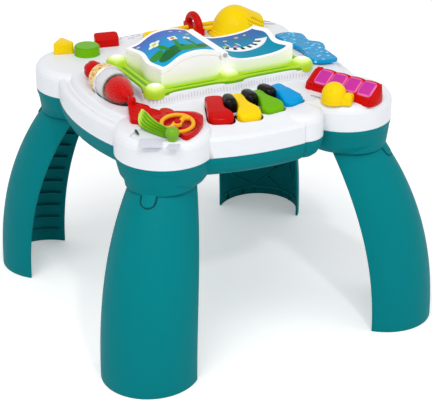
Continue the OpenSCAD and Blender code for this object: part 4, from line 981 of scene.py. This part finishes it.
# half plans of the well's inner and outer edge, and the surround's section as (share outward, height)
hole_line = [(0, -56), (6, -52.5), (12, -43.5), (15.8, -33), (18, -14), (18.3, 0), (18.2, 10), (16.9, 20),
             (13.6, 26.5), (10, 30.5), (6, 32.6), (3, 33.6), (0, 34)]
seat_line = [(0, -65), (12.5, -61.7), (21.7, -52.5), (25, -40), (24.6, -20), (24.6, 0), (24.6, 14), (24.2, 23.8),
             (14.6, 25.2), (13.4, 33.4), (11.5, 48), (10.8, 62.5), (0, 63.8)]
seat_section = [(0, 318.5), (0, 320.9), (0.03, 321.5), (0.12, 321.7), (0.7, 321.5), (0.97, 321.3), (1, 321.02),
                (0.9, 320.95), (0.05, 320.9)]


def seat_place(u, v):
    """White surround that closes the deck round the shaker."""
    half = 1 if v < 0.5 else -1
    t = 2 * v if v < 0.5 else 2 - 2 * v
    a, b = along(hole_line, t), along(seat_line, t)
    share, height = along(seat_section, u, True)
    spot_at = a + (b - a) * share
    return Vector((SHAKER_X + half * spot_at.x, spot_at.y, height)) / 1000


cap_line = [(4.9, 321.2), (5.3, 332), (4.7, 336.4), (2.6, 338.6), (0, 339.1)]
piece("axle_cap", turned(smooth_line(cap_line, 16), (SHAKER_X, -68.6, 0), 40), "red", "table",
      smooth=60)
piece("shaker_seat", tube_of(36, 168, seat_place), "white", "table", smooth=50)

# ---------------------------------------------------------------- release tabs of the legs
tab = [(-12, -8.6), (-4, -8.9), (2, -8.6), (6, -6), (8.2, 0), (6, 6), (2, 8.6), (-4, 8.9), (-12, 8.6)]
groove_line = [(-11, 10.2), (-2, 10.2), (4.8, 8), (8.8, 0), (4.8, -8), (-2, -10.2), (-11, -10.2)]
TAB_TILT = Matrix.Translation((0.2484, 0, 0.243)) @ Matrix.Rotation(math.radians(55.8), 4, "Y")


def on_skin(x, y, lift=0.0):
    """Height of a leg's outer skin above the plane of its tab, plus lift, in millimetres."""
    low, high = -20.0, 20.0
    for _ in range(24):
        mid = (low + high) / 2
        at = TAB_TILT @ (Vector((x, y, mid)) / 1000)
        away, reach, half = leg_section(at.z)
        inside = ((at.x - away) / reach) ** 2 + (at.y / half) ** 2 < 1
        low, high = (mid, high) if inside else (low, mid)
    return low + lift


for place, turn in LEGS.items():
    tab_at = Matrix.Rotation(math.radians(turn), 4, "Z") @ TAB_TILT
    cover = raised(tab, (-1, 0), lambda x, y: on_skin(x, y, 1.6), -3, 1.4, 54)
    piece("leg_tab_" + place, moved(cover, tab_at), "teal", place + "_latch", ["latch_" + place],
          smooth=60)
    # a dark teal bead laid on the skin is painted shade: it stands for the shade in the groove round each tab
    groove = bead([(x, y, on_skin(x, y)) for x, y in groove_line], 1.1, 8, 36)
    piece("tab_groove_" + place, moved(groove, tab_at), "teal_dark", "table")

for name, width in (("round_button", 0.0022), ("square_button", 0.0032), ("triangle_button", 0.0016)):
    soften(name, width)

# ---------------------------------------------------------------- stage, light and camera
floor = bpy.data.objects.new("studio_floor", bpy.data.meshes.new("studio_floor"))
ground = bmesh.new()
bmesh.ops.create_grid(ground, x_segments=1, y_segments=1, size=12)
ground.to_mesh(floor.data)
ground.free()
bpy.context.scene.collection.objects.link(floor)
pale = bpy.data.materials.new("studio_pale")
pale.use_nodes = True
tree = pale.node_tree
paper = tree.nodes["Principled BSDF"].inputs
for label, value in (("Base Color", (0.93, 0.93, 0.93, 1)), ("Roughness", 0.9), ("Specular IOR Level", 0.1),
                     ("Emission Color", (1, 1, 1, 1))):
    paper[label].default_value = value
rays = add(tree, "ShaderNodeLightPath").outputs
seen = maths(tree, "MAXIMUM", rays["Is Camera Ray"], rays["Is Glossy Ray"])
tree.links.new(maths(tree, "MULTIPLY", seen, 0.3), paper["Emission Strength"])
floor.data.materials.append(pale)

world = bpy.data.worlds.new("studio")
bpy.context.scene.world = world
world.use_nodes = True
tree = world.node_tree
tree.nodes.clear()
soft = add(tree, "ShaderNodeBackground", {0: (0.97, 0.98, 1.0, 1), 1: 0.6})
plain = add(tree, "ShaderNodeBackground", {0: (1, 1, 1, 1), 1: 1.0})
rays = add(tree, "ShaderNodeLightPath").outputs
direct = maths(tree, "MAXIMUM", rays["Is Camera Ray"], rays["Is Transmission Ray"])
seen = maths(tree, "MAXIMUM", direct, rays["Is Glossy Ray"])
both = add(tree, "ShaderNodeMixShader", {0: seen, 1: soft.outputs[0], 2: plain.outputs[0]})
tree.links.new(both.outputs[0], tree.nodes.new("ShaderNodeOutputWorld").inputs[0])


def lamp(name, at, size, power, aim=(0, 0, 0.2)):
    """Round soft lamp; place and size in metres, power in watts."""
    data = bpy.data.lights.new(name, "AREA")
    data.shape, data.size, data.energy = "DISK", size, power
    obj = bpy.data.objects.new(name, data)
    bpy.context.scene.collection.objects.link(obj)
    obj.location = at
    obj.rotation_euler = (Vector(aim) - Vector(at)).to_track_quat("-Z", "Y").to_euler()


lamp("key_light", (-1.6, -1.4, 3.0), 2.4, 45)
lamp("fill_light", (2.4, -2.0, 2.0), 2.4, 14)
lamp("spark_light", (-0.4, -2.2, 2.4), 0.22, 16)

CAMERA_AT, CAMERA_AIM = Vector((-0.87935, -1.71118, 1.04951)), Vector((0.13558, 0.24104, 0))
lens = bpy.data.cameras.new("camera")
lens.sensor_width, lens.lens = 36.0, 126.5
lens.clip_start, lens.clip_end = 0.1, 60  # metres
camera = bpy.data.objects.new("camera", lens)
bpy.context.scene.collection.objects.link(camera)
camera.location = CAMERA_AT
camera.rotation_euler = (CAMERA_AIM - camera.location).to_track_quat("-Z", "Y").to_euler()
bpy.context.scene.camera = camera
bpy.context.scene.view_settings.view_transform = "Standard"
